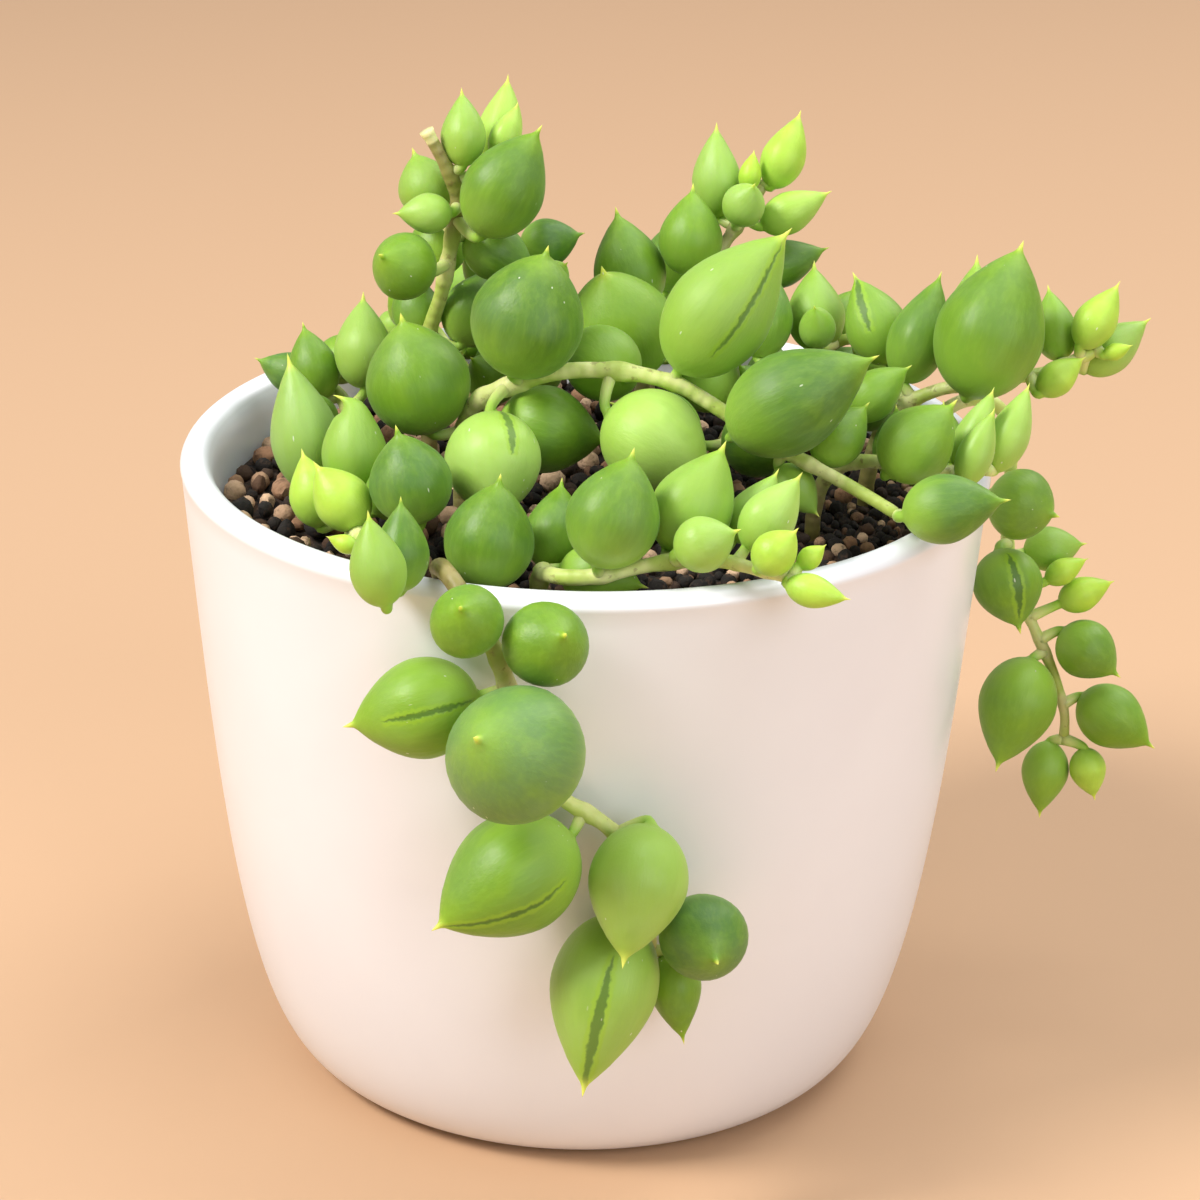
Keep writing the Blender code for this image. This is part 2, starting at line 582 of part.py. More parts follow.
def soil_outline():
    """From the middle of the soil's top, out to the wall and down to the pot's floor."""
    edge = cavity_radius(SOIL_TOP) - SOIL_GAP
    top = [(edge * i / GRAIN_RINGS, SOIL_TOP) for i in range(GRAIN_RINGS + 1)]
    side = [(cavity_radius(z) - SOIL_GAP, z) for z in SOIL_HEIGHTS]
    return top + side + [(0, FLOOR + SOIL_GAP)]


def raise_grains(soil):
    """Lift and drop the points of the soil's top by formula, as a bed of coarse grains does."""
    edge = cavity_radius(SOIL_TOP) - SOIL_GAP
    for vertex in soil.data.vertices:
        x, y, z = vertex.co / MM
        reach = math.hypot(x, y)
        if abs(z - SOIL_TOP) < 0.01 and reach < edge - FLAT_EDGE:
            ring = round(reach / edge * GRAIN_RINGS)
            spoke = round(math.atan2(y, x) / math.tau * ROUND_STEPS)
            lift = math.prod(math.cos(a * ring + b * spoke) for a, b in GRAIN_WAVES)
            vertex.co.z += GRAIN_RELIEF * lift * MM


def hole_cutter(name, root, cutters):
    """A plain upright cutter for the hole that a stem stands in."""
    middle = SOIL_TOP + (HOLE_ABOVE - HOLE_DEPTH) / 2
    bpy.ops.mesh.primitive_cylinder_add(
        vertices=HOLE_SIDES, radius=HOLE_RADIUS * MM, depth=(HOLE_DEPTH + HOLE_ABOVE) * MM,
        location=(root[0] * MM, root[1] * MM, middle * MM))
    cutter = bpy.context.object
    cutter.name = "hole_" + name
    cutter.hide_render = True
    cutter.display_type = "WIRE"
    for held in list(cutter.users_collection):
        held.objects.unlink(cutter)
    cutters.objects.link(cutter)


def build_soil(collection, cutters):
    blank = turned_solid("soil_blank", soil_outline(), collection)
    soil = mesh_copy(blank, "soil", collection)
    bpy.data.objects.remove(blank)
    raise_grains(soil)
    for name, strand in STRANDS.items():
        hole_cutter(name, strand.root, cutters)
    holes = soil.modifiers.new("holes", "BOOLEAN")
    holes.operation = "DIFFERENCE"
    holes.operand_type = "COLLECTION"
    holes.collection = cutters
    soil.data.materials.append(new_material("granular_soil", SOIL_BROWN, SOIL_ROUGHNESS))
    return soil


def leaf_tube(item, base, stem, collection, name):
    """One leaf and its petiole, from inside the stem to the leaf's nib."""
    aim = aim_of(item.heading, item.rise)
    start = stem[np.linalg.norm(stem - base, axis=1).argmin()]
    reach = np.linalg.norm(base - start)
    points, radii = [start], [PETIOLE_RADIUS]
    if reach > LONG_PETIOLE:
        bend = base - aim * reach * PETIOLE_BEND
        points.append(0.25 * start + 0.5 * bend + 0.25 * base)
        radii.append(PETIOLE_RADIUS)
    points.append(base)
    radii.append(PETIOLE_RADIUS * PETIOLE_FLARE)
    big = item.width >= BIG_LEAF_WIDTH
    sides = 8 if big else 6
    for share in BIG_STATIONS if big else SMALL_STATIONS:
        points.append(base + aim * share * body_length(item))
        radii.append(leaf_radius(share, item.length, item.width) * FULLNESS[sides])
    points.append(base + aim * item.length)
    radii.append(0.0)
    return new_tube(name, points, radii, sides, collection)


def stem_tube(name, strand, collection):
    """A strand's stem, thinner towards its tip."""
    points = strand_route(strand)
    first, last = strand.thick
    radii = np.linspace(first / 2, last / 2, len(points))
    return new_tube(name, points, radii, STEM_SIDES, collection)


def join_all(solid, pieces):
    """Fuse every object of the collection pieces into solid by one union, and remove them."""
    union = solid.modifiers.new("join", "BOOLEAN")
    union.operation = "UNION"
    union.operand_type = "COLLECTION"
    union.collection = pieces
    graph = bpy.context.evaluated_depsgraph_get()
    joined = bpy.data.meshes.new_from_object(solid.evaluated_get(graph))
    solid.modifiers.remove(union)
    old = solid.data
    solid.data = joined
    bpy.data.meshes.remove(old)
    for piece in list(pieces.objects):
        bpy.data.objects.remove(piece)
    bpy.data.collections.remove(pieces)


def strand_green(leaves):
    """The green of a strand, from how young its leaves are on average."""
    youth = np.mean([item.youth for item in leaves])
    return OLD_GREEN + (YOUNG_GREEN - OLD_GREEN) * youth


def build_strand(name, strand, leaves, bases, collection):
    """One leafy stem: the stem, its leaves and their petioles, fused into one body."""
    solid = stem_tube(name, strand, collection)
    pieces = new_collection(name + "_leaves")
    stem = strand_route(strand, FINE_STEP)
    for i, (item, base) in enumerate(zip(leaves, bases)):
        leaf_tube(item, base, stem, pieces, f"{name}_leaf_{i}")
    join_all(solid, pieces)
    solid.data.materials.clear()
    solid.data.materials.append(new_material(name + "_green", strand_green(leaves), LEAF_ROUGHNESS))
    solid.data.shade_smooth()
    solid.data.set_sharp_from_angle(angle=math.radians(SHARP_ANGLE))
    return solid


def main():
    for obj in list(bpy.data.objects):
        bpy.data.objects.remove(obj)
    collection = new_collection("potted_string_of_tears")
    cutters = new_collection("cutters")
    build_pot(collection)
    build_soil(collection, cutters)

    grown = {name: strand.leaves + filler_leaves(strand) for name, strand in STRANDS.items()}
    every_leaf = [item for items in grown.values() for item in items]
    owners = np.array([i for i, items in enumerate(grown.values()) for _ in items])
    stems = [(strand_route(strand, STEM_SAMPLE), strand.thick[0]) for strand in STRANDS.values()]
    places = settle(every_leaf, owners, stems)
    for number, (name, strand) in enumerate(STRANDS.items()):
        build_strand(name, strand, grown[name], places[owners == number], collection)


main()
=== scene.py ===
"""Looks of a potted string of tears: a trailing succulent with plump, pointed leaves in a white ceramic pot.

Sizes in the tables are millimetres. The leaves' places are worked out as in the solids that this scene
dresses, so that each fine leaf lies where its plain solid does.
"""

from collections import namedtuple
from math import asin, atan2, cos, degrees, pi, radians, sin, sqrt, tau

import bmesh
import bpy
import numpy as np
from mathutils import Matrix, Vector


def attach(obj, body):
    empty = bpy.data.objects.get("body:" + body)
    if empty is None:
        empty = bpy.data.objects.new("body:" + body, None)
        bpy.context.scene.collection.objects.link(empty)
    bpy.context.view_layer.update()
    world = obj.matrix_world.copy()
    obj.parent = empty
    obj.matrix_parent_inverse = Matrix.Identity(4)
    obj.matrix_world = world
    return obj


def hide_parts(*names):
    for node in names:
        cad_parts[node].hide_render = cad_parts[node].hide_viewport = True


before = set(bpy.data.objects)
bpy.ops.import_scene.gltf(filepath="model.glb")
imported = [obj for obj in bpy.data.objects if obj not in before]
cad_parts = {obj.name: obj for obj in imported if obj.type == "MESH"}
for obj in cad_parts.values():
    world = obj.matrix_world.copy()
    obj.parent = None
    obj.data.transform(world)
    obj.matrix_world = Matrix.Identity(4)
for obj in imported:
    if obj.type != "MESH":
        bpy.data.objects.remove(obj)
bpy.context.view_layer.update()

MM = 0.001

# Camera, as the photograph was taken
LENS = 105
CAMERA_TARGET = (1.85, 0, 53.6)
CAMERA_DISTANCE = 397
CAMERA_ELEVATION = 22.7
CAMERA_ROLL = 0.99
LIFT = radians(CAMERA_ELEVATION)
TOWARDS_VIEWER = np.array((0, -cos(LIFT), sin(LIFT)))

# Pot: turned ceramic, with a rounded rim, nearly straight sides and a rounded foot
POT_HEIGHT = 72.5
RIM_RADIUS = 45
SIDE_TAPER = 6
FOOT_RADIUS = 26.5
FOOT_ROUND_HEIGHT = 65
FOOT_ROUND_POWER = 3.6
WALL = 3.4
FLOOR = 5
POT_SIDES = 192
POT_RINGS = 70
RIM_RINGS = 18
FOOT_EDGE = 0.5
FOOT_FLAT = 0.8

# Soil: a lumpy bed, with coarse granules lying on it
SOIL_TOP = 66.5
SOIL_GAP = 0.3
GRAIN_RELIEF = 0.55
BED_DROP = 1.2
BED_RINGS = 30
BED_SIDES = 120
BED_HEIGHTS = (8, 16, 30, 48)
BED_SHOULDER = 0.97
LUMP_WAVES = (1.9, 1.7)
GRAIN_COUNT = 1750
GRAIN_SIZES = (0.75, 1.55)
GRAIN_TOP = 67.9
GRAIN_SPACING = 0.82
GRAIN_TRIES = 6
SMALL_GRAINS = 1.6
ROOT_CLEARANCE = 1.2
GRAIN_CUTS = 9
CUT_DEPTHS = (0.72, 1)
CUT_FACING = 0.15
UNCUT = 9
GRAIN_SQUASH = (0.75, 1.1)
GRAIN_PERCH = (0.25, 0.95)
SHARP_ANGLE = 38
GRAIN_SEED = 5
# Granules get smaller towards this heading, and darker there with painted shade
GRAIN_SORT_HEADING = -37
GRAIN_SORTING = 0.35
GRAIN_DARKNESS = 1.45
GRAIN_PAINTED_SHADE = 0.9

# Stems and petioles
ROOT_DEPTH = 8.2
ROOT_RISE = 1.2
ROUTE_SAMPLES = 12
STEM_STEP = 0.6
STEM_SAMPLE = 1.2
FINE_STEP = 0.5
FILLER_STEP = 1
STEM_SIDES = 14
STEM_FRONT = (0.3, 1, 0.1)
STEM_WAVE = 0.7
NODE_SWELL = 0.22
NODE_REACH = 0.9
STEM_SLIM = 0.88
STEM_WOBBLE = 0.05
CUT_LENGTH = 1.3
CUT_FLARE = 0.3
TIP_ROUNDING = 1.2
TIP_FLATNESS = 0.04
PETIOLE_RADIUS = 0.55
PETIOLE_BEND = 0.3
PETIOLE_FLARE = 0.35
PETIOLE_SHARE = -0.3
LONG_PETIOLE = 5
PETIOLE_RINGS = 8
TURNING_RINGS = 4

# Brown of a stem: at its upper end, and at its root with how far up that reaches; where it reaches far, as on
# the trailing front stem, it is also painted shade
PLAIN_BROWN = 0.1
PLAIN_ROOT = (1.6, 22)
BROWN_START = 0.6
BROWN_STEEPNESS = 2
BROWN_LEAST = 0.2

# Leaves
LEAF_SEED = 100
LEAF_SIDES = 32
LEAF_RINGS = 34
RING_CROWDING = 0.03
RING_SPAN = 0.985
FIRST_RING = 0.004
FRONT_TO_VIEWER = 0.3
NIB = 1.1
FULL_NIB_WIDTH = 8
NIB_WIDTH = 0.085
NIB_START = 0.8
SLIM_SHAPE = 0.55
ROUND_SHAPE = 0.95
WIDEST = (0.41, 0.48)
TIP_BULGE = (1.65, 2)
TIP_POWER = (1, 0.72)
BLEND_POWER = 3
OVAL = 0.02
ARCH = 0.03
SIDE_ARCH = 0.7
KEEL_REACH = 0.3
ROUND_KEEL = 0.006
SLIM_KEEL = 0.05
UNDER_KEEL = 0.5
GROOVE = 0.035
GROOVE_FADE = 0.08
SLIT_TAPER = 0.7
LEAF_WOBBLE = 0.008
HOOK_BEND = 2.3
HOOK_BACK = 0.55
HOOK_START = 0.72

# Leaves placed by rule: spirally round the stem, leaning along it, up where it climbs, down where it hangs
GOLDEN_ANGLE = 137.5
STANDOFF = 2.6
STEEP = 0.9
LEAN = 0.5
RISE = 0.7
DROP = -0.5
HANGING = -0.5
SWAY = 0.3
SIZE_SPREAD = (0.88, 1.08)
TIP_SHRINK = 0.45
TIP_YOUTH = 0.7

# Settling: how far leaves keep from each other, from other stems, from the pot and from the soil
SETTLE_ROUNDS = 260
SETTLE_STEP = 0.6
TOUCH_GAP = 1
SELF_GAP = 0.35
SPRING = 0.02
NEAR = 9
BASE_SHARE = 0.3
WALL_SAMPLES = 40
BALL_SHARES = np.array((0.1, 0.26, 0.44, 0.62, 0.78, 0.9, 0.98))

Strand = namedtuple("Strand", "root thick route leaves filler slits shades brown root_brown hooked cut",
                    defaults=((), None, {}, {}, PLAIN_BROWN, PLAIN_ROOT, None, False))
Leaf = namedtuple("Leaf", "base heading rise length width youth")
Filler = namedtuple("Filler", "first last count length width seed")
Slit = namedtuple("Slit", "turn width start end")


def leaf(x, y, z, heading, rise, length, width, youth=0):
    """One leaf: its base, where it points, its size, and its youth: 1 newest, 0 old, below 0 darkest, which
    is painted shade.
    """
    return Leaf((x, y, z), heading, rise, length, width, youth)


# Each strand is rooted in the soil at root and follows route, and its thickness goes from the first value
# to the second. Its leaves' rows hold what leaf() takes. A filler is a run of leaves placed by rule: the
# first and last share of the stem, how many, their length and width, and the seed of their draws.
# Slits are dark lengthwise windows, by leaf number: how far round from the viewer's side, half their width,
# and the shares of the leaf's length where they start and end. Shades are those of some old leaves, from 0,
# bluest, to 1, yellowest, and below 0 for a pale bluish waxy bloom that is partly a painted reflection of the
# light. The tip of the hooked leaf bends over, and a cut stem ends in a pale callus.
STRANDS = {
    "strand_upright_left": Strand(
        root=(-18, 10.5), thick=(2.2, 1.5), brown=0.8, root_brown=(1, 36), cut=True,
        route=[(-18.2, 9.5, 80), (-16.5, 8.5, 87), (-15.3, 7.5, 93.5), (-14.6, 7, 98.5),
               (-16, 6.3, 102.5), (-18, 6, 106.3)],
        leaves=[
            (-14.5, 6, 101.6, 95, 74, 8.6, 5.1, 0.55), (-11, 12, 100.8, 60, 70, 10.2, 5, 0.8),
            (-10.5, 8.5, 102.3, 40, 62, 6.8, 3.4, 0.8), (-12.5, 4, 95.8, 5, 62, 14, 9.2, 0.1),
            (-17, 9.8, 95.4, 150, 66, 8.2, 6.6, 0.5), (-15.2, 4.5, 97.1, 195, 3, 6.6, 4.5, 0.6),
            (-18.2, 4, 91.3, 235, 28, 8.8, 7.3, 0.3), (-13.8, 8.5, 93.5, 355, -25, 9.5, 6.6, 0.1),
            (-15.5, 10.5, 81, 55, 55, 10, 7.2, 0.1), (-20.5, 9, 79.5, 110, 62, 8.5, 5.6, 0.2),
            (-16.5, 10.5, 89, 100, 35, 9, 6.4, 0.3),
        ],
    ),
    "strand_upright_centre": Strand(
        root=(6, 14.5), thick=(2.2, 1.3), brown=0.6,
        route=[(6.5, 14, 76), (8, 13.5, 81), (11, 14.5, 85.5), (14.5, 17, 89.5), (17.5, 19, 93.5),
               (20, 20.3, 97.5)],
        leaves=[
            (6.2, 13, 83, 140, 72, 12.5, 8.3, 0.1), (6.1, 10, 77.8, 225, 68, 15, 12, 0.4),
            (11, 15.2, 86.5, 85, 78, 10.5, 7.2, 0.3), (15, 19, 92.9, 105, 78, 10.9, 5.7, 0.6),
            (19.3, 18.8, 96.2, 45, 60, 9.5, 5, 0.9), (16.5, 16, 93.8, 300, 55, 6.5, 4.8, 0.6),
            (19.3, 17.3, 93, 10, 26, 9, 4.7, 0.8), (20.2, 15.5, 85.8, 5, 18, 9.5, 5.6, 0.1),
            (18.2, 18.4, 96.6, 60, 75, 4.8, 2.6, 1), (12.5, 18.5, 87.5, 110, 25, 9.5, 6.4, 0.3),
        ],
    ),
    "strand_arching": Strand(
        root=(-13.5, -5), thick=(2.4, 1.5),
        slits={1: Slit(28, 0.3, 0.16, 0.93), 6: Slit(-28, 0.5, 0, 0.55)}, shades={0: 0.5, 2: 0.45},
        root_brown=(0.9, 36),
        route=[(-13.2, -7, 76), (-11.8, -9, 80.3), (-8, -11, 83), (-3, -12.2, 85), (3, -13, 85.5),
               (9, -14, 84.7), (13, -14.8, 82.8), (17.5, -16.5, 80.4), (22, -18.8, 78.4),
               (26.5, -21.2, 76.8), (30.5, -23.6, 75.3), (33, -25, 74.2)],
        leaves=[
            # The first and third leaves have a youth below 0, which darkens them with painted shade
            (-7.8, -13, 84.4, 350, 75, 15, 12.2, -0.12), (9.7, -14.2, 86, 12, 52, 19.4, 11, 0.5),
            (15, -19.3, 79, 355, 33, 17.8, 11, -0.08), (2.4, -14, 81.9, 335, -22, 13.4, 10.9, 0.75),
            (-8, -11.8, 80, 352, -8, 12.5, 9.5, 0), (4, -10.5, 83.3, 125, 6, 11, 8.4, 0.3),
            (-10.8, -14.8, 81, 278, -42, 13, 10.2, 0.7), (-16, -9.3, 74.8, 170, 76, 13.8, 11.2, 0.2),
            (25.5, -18.8, 77.5, 20, 46, 8.5, 5.7, 0.2), (21, -17, 77, 325, -40, 7, 4.6, 0.5),
            (32, -27.4, 72.4, 356, 12, 11.3, 7.2, 0.1),
        ],
    ),
    "strand_middle": Strand(
        root=(15, 3), thick=(2.1, 1.5),
        route=[(16, 3.2, 72.5), (18.5, 4.3, 76.5), (21, 5.5, 79.5)],
        leaves=[
            (21.6, 6.2, 80.3, 75, 66, 11, 6.6, 0.1), (17, -1, 74.5, 292, 4, 11.5, 7.6, 0),
            (12, 2, 73.8, 190, 28, 11.5, 8.2, 0.1), (15.5, 7.5, 74.5, 110, 38, 10.5, 7.6, 0.2),
            (22.6, 2, 75.8, 335, 45, 10, 6.6, 0.1),
        ],
    ),
    "strand_right_low": Strand(
        root=(25, -9), thick=(2, 1.3), shades={2: 1, 3: 1, 4: 0.9},
        route=[(25.8, -10.2, 72), (28, -13, 75.3), (31, -15.3, 76.6), (35, -16.6, 76.4), (39, -16.4, 75.9),
               (43, -15, 75.8)],
        leaves=[
            (30.4, -18.2, 76, 10, 48, 10.9, 7.9, 0.3), (29.8, -11.5, 77.6, 20, 36, 8.8, 5.4, 0.3),
            (39.3, -17.6, 75.4, 25, 68, 9, 3.9, 0.6), (41.2, -15.2, 75.2, 30, 64, 9.6, 4, 0.65),
            (42.9, -14.2, 75.8, 44, 60, 10.3, 4.6, 0.65), (38, -12.3, 75.2, 105, 65, 7, 3.6, 0.6),
            (33.5, -13, 76.5, 95, 35, 9.5, 6.2, 0.2),
        ],
    ),
    "strand_right": Strand(
        root=(31.5, 1.5), thick=(2.1, 1.2), slits={3: Slit(-20, 0.45, 0.35, 0.95)},
        route=[(32.3, 0.5, 73), (34.3, -1, 77.3), (37.8, -2.4, 80), (41.5, -3, 81.2), (46, -2.8, 81.8),
               (50, -2, 82.4), (53.3, -1.2, 83.6), (56, -0.7, 84.6)],
        leaves=[
            (40.2, -5, 80.5, 35, 68, 18, 11.8, 0.2), (40, 0.6, 82, 85, 66, 12.8, 7.2, 0.5),
            (35.8, -0.3, 79.6, 48, 63, 13, 6.8, 0.1), (34, 3.6, 81, 140, 58, 11.2, 7, 0.4),
            (31.6, -1.5, 76, 300, 42, 8.5, 6.3, 0), (52.4, 0.6, 83, 110, 62, 8.6, 4.8, 0.4),
            (53.6, -1, 84.6, 30, 54, 8.5, 4.8, 0.9), (54.8, 0.5, 82, 22, 33, 9.6, 5.3, 0.6),
            (49, -4, 81, 18, 36, 6.5, 3.8, 0.9), (56.4, -1.2, 84.4, 350, 25, 3.4, 1.9, 1),
        ],
    ),
    "strand_front": Strand(
        root=(-4.6, -31.6), thick=(2.1, 1.3), root_brown=(0, 1),
        route=[(-4.2, -33.6, 70.6), (-3.6, -36.4, 71.6), (-1.4, -38.2, 72), (2, -38.8, 72.5),
               (6, -38.6, 73.5), (10, -38.6, 74.2), (14, -39.4, 74.6), (18, -41.4, 74.4), (21, -43.3, 74.4)],
        leaves=[
            (2.6, -37.6, 71, 26, 72, 12.8, 9.4, 0.2), (8.7, -35.8, 73.6, 25, 60, 12.8, 8.3, 0.5),
            (13.4, -33.8, 75.3, 30, 52, 8.8, 4.8, 0.6), (16.4, -37.2, 75.2, 20, 52, 9.6, 5.6, 0.7),
            (9.6, -40.4, 75.2, 352, 26, 7.2, 5.7, 0.6), (17.8, -42.8, 74.2, 350, 50, 6.2, 4.4, 0.9),
            (21.6, -42.6, 75.4, 20, 35, 3.6, 2.3, 1), (20.4, -44, 74.2, 340, -6, 6.8, 3.4, 0.9),
            (-2.6, -36, 70.8, 345, -6, 9.5, 6.2, 0.4), (-2.8, -32.2, 69.6, 80, 55, 10, 6.6, 0),
        ],
    ),
    "strand_left": Strand(
        root=(-25, -12), thick=(2.2, 1.6), shades={0: -0.3}, root_brown=(0.3, 20), hooked=1,
        route=[(-25.2, -14.5, 70.6), (-24.8, -20, 71.6), (-23.6, -27, 72), (-22.4, -33, 73),
               (-21.4, -38, 74.5), (-20.4, -42.3, 74.4), (-19.4, -46.2, 72.6)],
        leaves=[
            (-29.4, -9, 69.6, 140, 75, 15.6, 7.8, 0.72), (-23.6, -15.6, 71.8, 100, 78, 12.2, 7.2, 0.5),
            (-17.8, -27, 73, 170, 76, 10.8, 8.7, 0), (-27.8, -20, 70, 130, 68, 8.6, 5.2, 0.9),
            (-21.6, -26.4, 71.6, 170, 52, 8.6, 6, 0.9), (-18.5, -48, 73.1, 140, 76, 9.8, 5.6, 0.5),
            (-17.2, -44.6, 69.4, 90, 78, 9.6, 5.6, 0), (-22.6, -38.8, 75, 165, 15, 3.6, 2, 1),
            (-22, -20.5, 72, 20, 40, 9, 6.4, 0.1),
        ],
    ),
    "strand_left_back": Strand(
        root=(-27, 5), thick=(2, 1.4),
        route=[(-26.7, 6.5, 70.5), (-27, 8.5, 72.6), (-28.6, 11.5, 74), (-30.5, 14, 75)],
        leaves=[
            (-22.9, 8.5, 76.5, 95, 66, 11, 6.8, 0.6), (-29.2, 12.2, 71.4, 135, 71, 9.2, 6, 0),
            (-30.6, 14, 74.6, 175, 20, 7.6, 4.8, 0.1), (-28.5, 4.5, 71.5, 200, 40, 8, 5.6, 0.2),
            (-29.4, 16, 74.4, 85, 12, 8.2, 5.6, 0.3),
        ],
    ),
    "strand_trailing_front": Strand(
        root=(-14, -30), thick=(2.4, 1.6),
        slits={3: Slit(-6, 0.34, 0, 0.72), 5: Slit(-36, 0.28, 0.2, 0.97), 7: Slit(0, 0.6, 0.2, 0.99)},
        # This stem's root brown reaches up over its arc across the rim as painted shade
        shades={4: -0.4, 5: -0.1, 8: -0.15}, brown=0.3, root_brown=(2.5, 44),
        route=[(-14.2, -33.5, 70.2), (-14.5, -38, 72.6), (-14, -42.2, 74.4), (-12.4, -45.8, 74),
               (-10.4, -47.4, 71), (-8.2, -47.3, 67), (-6.8, -46.5, 61.5), (-4.9, -46.2, 56),
               (-2.2, -46, 51.4), (2.8, -45.6, 47.8), (5.8, -44.7, 43.6), (7.2, -43.8, 37), (7.8, -43.2, 32)],
        leaves=[
            (-10, -37.6, 68.2, 20, 80, 12.4, 9.2, 0), (-10.4, -46.8, 69.8, 262, 40, 8.6, 7.3, 0.2),
            (-5, -46.6, 67.5, 295, 32, 9.8, 8.6, 0.2), (-6.9, -46.5, 63.1, 185, -13, 14, 10.4, 0.4),
            (-5.2, -49, 58, 238, 33, 15.4, 13.8, 0.1), (1.2, -46, 47.2, 210, -24, 17.5, 12.5, 0.3),
            (5.9, -45.7, 48.3, 253, -54, 15, 10, 0.6), (5.2, -43.8, 38.7, 245, -62, 19.2, 11.4, 0.55),
            (11.8, -44.4, 36.6, 283, 0, 10.2, 9.2, 0.1), (9.4, -43.6, 32.3, 300, -72, 10, 5.6, 0.2),
        ],
    ),
    "strand_trailing_right": Strand(
        root=(37, 8), thick=(2, 1.2),
        slits={1: Slit(-10, 0.5, 0.1, 0.85)}, shades={0: 1, 1: 0.9, 5: 0.7, 6: 0.9, 7: 0.8},
        brown=0.45,
        route=[(38, 8.2, 71), (41.5, 8.8, 74.6), (45.5, 9.6, 75), (48.4, 10.6, 71.5), (48.8, 11, 65),
               (48.8, 10.8, 58.5), (50, 9.3, 52.5), (52.3, 7.8, 47.8), (55, 7.2, 42), (56.4, 7, 37.5),
               (56.6, 7, 34)],
        leaves=[
            (45.8, 8.9, 64, 325, -4, 8.8, 8.4, 0.1), (48, 8.8, 57.3, 292, -52, 10.2, 8, 0.1),
            (51.2, 11.6, 55.4, 5, 8, 7.5, 5.2, 0.5), (53.4, 8, 53.4, 12, 27, 5.6, 3.1, 1),
            (55, 7.8, 50.4, 9, 22, 7, 4, 1), (54.6, 7.8, 47.8, 330, -28, 8.8, 6.9, 0.2),
            (53, 6.8, 44.8, 240, -52, 14.1, 9.2, 0.25), (56.5, 7.4, 36.6, 334, -26, 10.6, 7.4, 0.25),
            (56.3, 7.2, 33.6, 250, -70, 9.2, 5.5, 0.4), (58.6, 6, 34.2, 310, -68, 6.4, 4.3, 0.9),
        ],
    ),
    "strand_back_left": Strand(
        root=(-8, 22), thick=(2, 1.3),
        route=[(-8.2, 21, 74), (-8, 18.5, 81), (-8, 16.5, 86), (-8, 15.5, 89.5)],
        leaves=[(-7.6, 14.2, 89, 5, 15, 7.6, 5.6, 0)],
        filler=Filler(0.05, 0.9, 8, 10.5, 7, 11),
    ),
    "strand_back_right": Strand(
        root=(22, 17), thick=(2, 1.3),
        route=[(22.8, 17, 73), (25, 15.3, 78), (28, 12.8, 80.5), (31.5, 12.5, 81.5)],
        leaves=[(25.8, 11, 79.4, 100, 66, 10.4, 6.7, 0.5)],
        filler=Filler(0.02, 0.97, 7, 10, 6.6, 23),
    ),
    "strand_back_low": Strand(
        root=(-14, 27), thick=(2, 1.3),
        route=[(-14.8, 29, 70.5), (-17, 32, 72.8), (-19.5, 36, 74.4), (-21, 40.5, 74.4)],
        filler=Filler(0.05, 1, 8, 9, 6.2, 31),
    ),
    "strand_trailing_back": Strand(
        root=(7, 32), thick=(2.2, 1.3),
        route=[(7.2, 34.5, 72), (8, 39, 75), (9.2, 44, 75), (10, 48, 71.5), (10.2, 48.6, 65), (10.8, 48, 58),
               (12, 47.6, 51), (13.2, 47, 44)],
        filler=Filler(0.09, 1, 13, 11.5, 8.2, 47),
    ),
}

# Colours, linear
PAINTED_SHADE_GREEN = (0.035, 0.095, 0.005)
OLD_GREEN = (0.07, 0.175, 0.009)
BLUE_GREEN = (0.055, 0.16, 0.022)
YELLOW_GREEN = (0.19, 0.36, 0.015)
PALE_GREEN = (0.43, 0.64, 0.15)
YOUNG_GREEN = (0.47, 0.7, 0.055)
BLOOM_AND_REFLECTION_GREEN = (0.17, 0.31, 0.095)
PALE_BASE = (0.34, 0.56, 0.07)
LIME = (0.3, 0.5, 0.02)
TIP_YELLOW = (0.78, 0.86, 0.14)
TIP_BROWN = (0.5, 0.3, 0.12)
WINDOW_GREEN = (0.045, 0.12, 0.01)
SPECK_WHITE = (0.75, 0.8, 0.62)
STEM_GREEN = (0.46, 0.58, 0.11)
STEM_CREAM = (0.76, 0.79, 0.33)
STEM_BROWN = (0.2, 0.13, 0.045)
CALLUS_CREAM = (0.72, 0.68, 0.32)
GLAZE_WHITE = (0.83, 0.845, 0.88)
GLAZE_SHADE = (0.81, 0.82, 0.855)
BISQUE = (0.72, 0.64, 0.55)
GRAIN_BLACK = (0.012, 0.009, 0.007)
GRAIN_DARK = (0.085, 0.044, 0.024)
GRAIN_RED = (0.31, 0.165, 0.088)
GRAIN_TAN = (0.7, 0.47, 0.3)
FLOOR_BEIGE = (0.55, 0.35, 0.207)
WORLD_COLOUR = (0.98, 0.97, 1)
WORLD_STRENGTH = 0.4

# Lights: place in metres, side in metres, watts, colour
LIGHTS = (
    ("key", (-0.62, -0.28, 0.76), 0.3, 10.5, (1, 0.97, 0.94)),
    ("fill", (0.6, -0.75, 0.52), 0.7, 4.6, (0.96, 0.97, 1)),
    ("rim", (0.55, 0.45, 0.7), 0.5, 3.4, (1, 0.97, 0.93)),
    ("top", (0.25, 0, 1), 0.6, 4, (0.95, 0.98, 1)),
)
FLOOR_SIZE = 6


def lengths(vectors):
    """Length of each vector in an array of them."""
    return np.linalg.norm(vectors, axis=-1)


def unit(vectors):
    """Each vector of an array, or a lone one, at length 1."""
    return vectors / lengths(vectors)[..., None]


def nearest(points, place):
    """Number of the point that is nearest to a place."""
    return lengths(points - place).argmin()


def aim_of(heading, rise):
    """Unit vector for a compass heading from +X towards +Y and a rise above level, in degrees."""
    turn, lift = radians(heading), radians(rise)
    level = cos(lift)
    return np.array((level * cos(turn), level * sin(turn), sin(lift)))


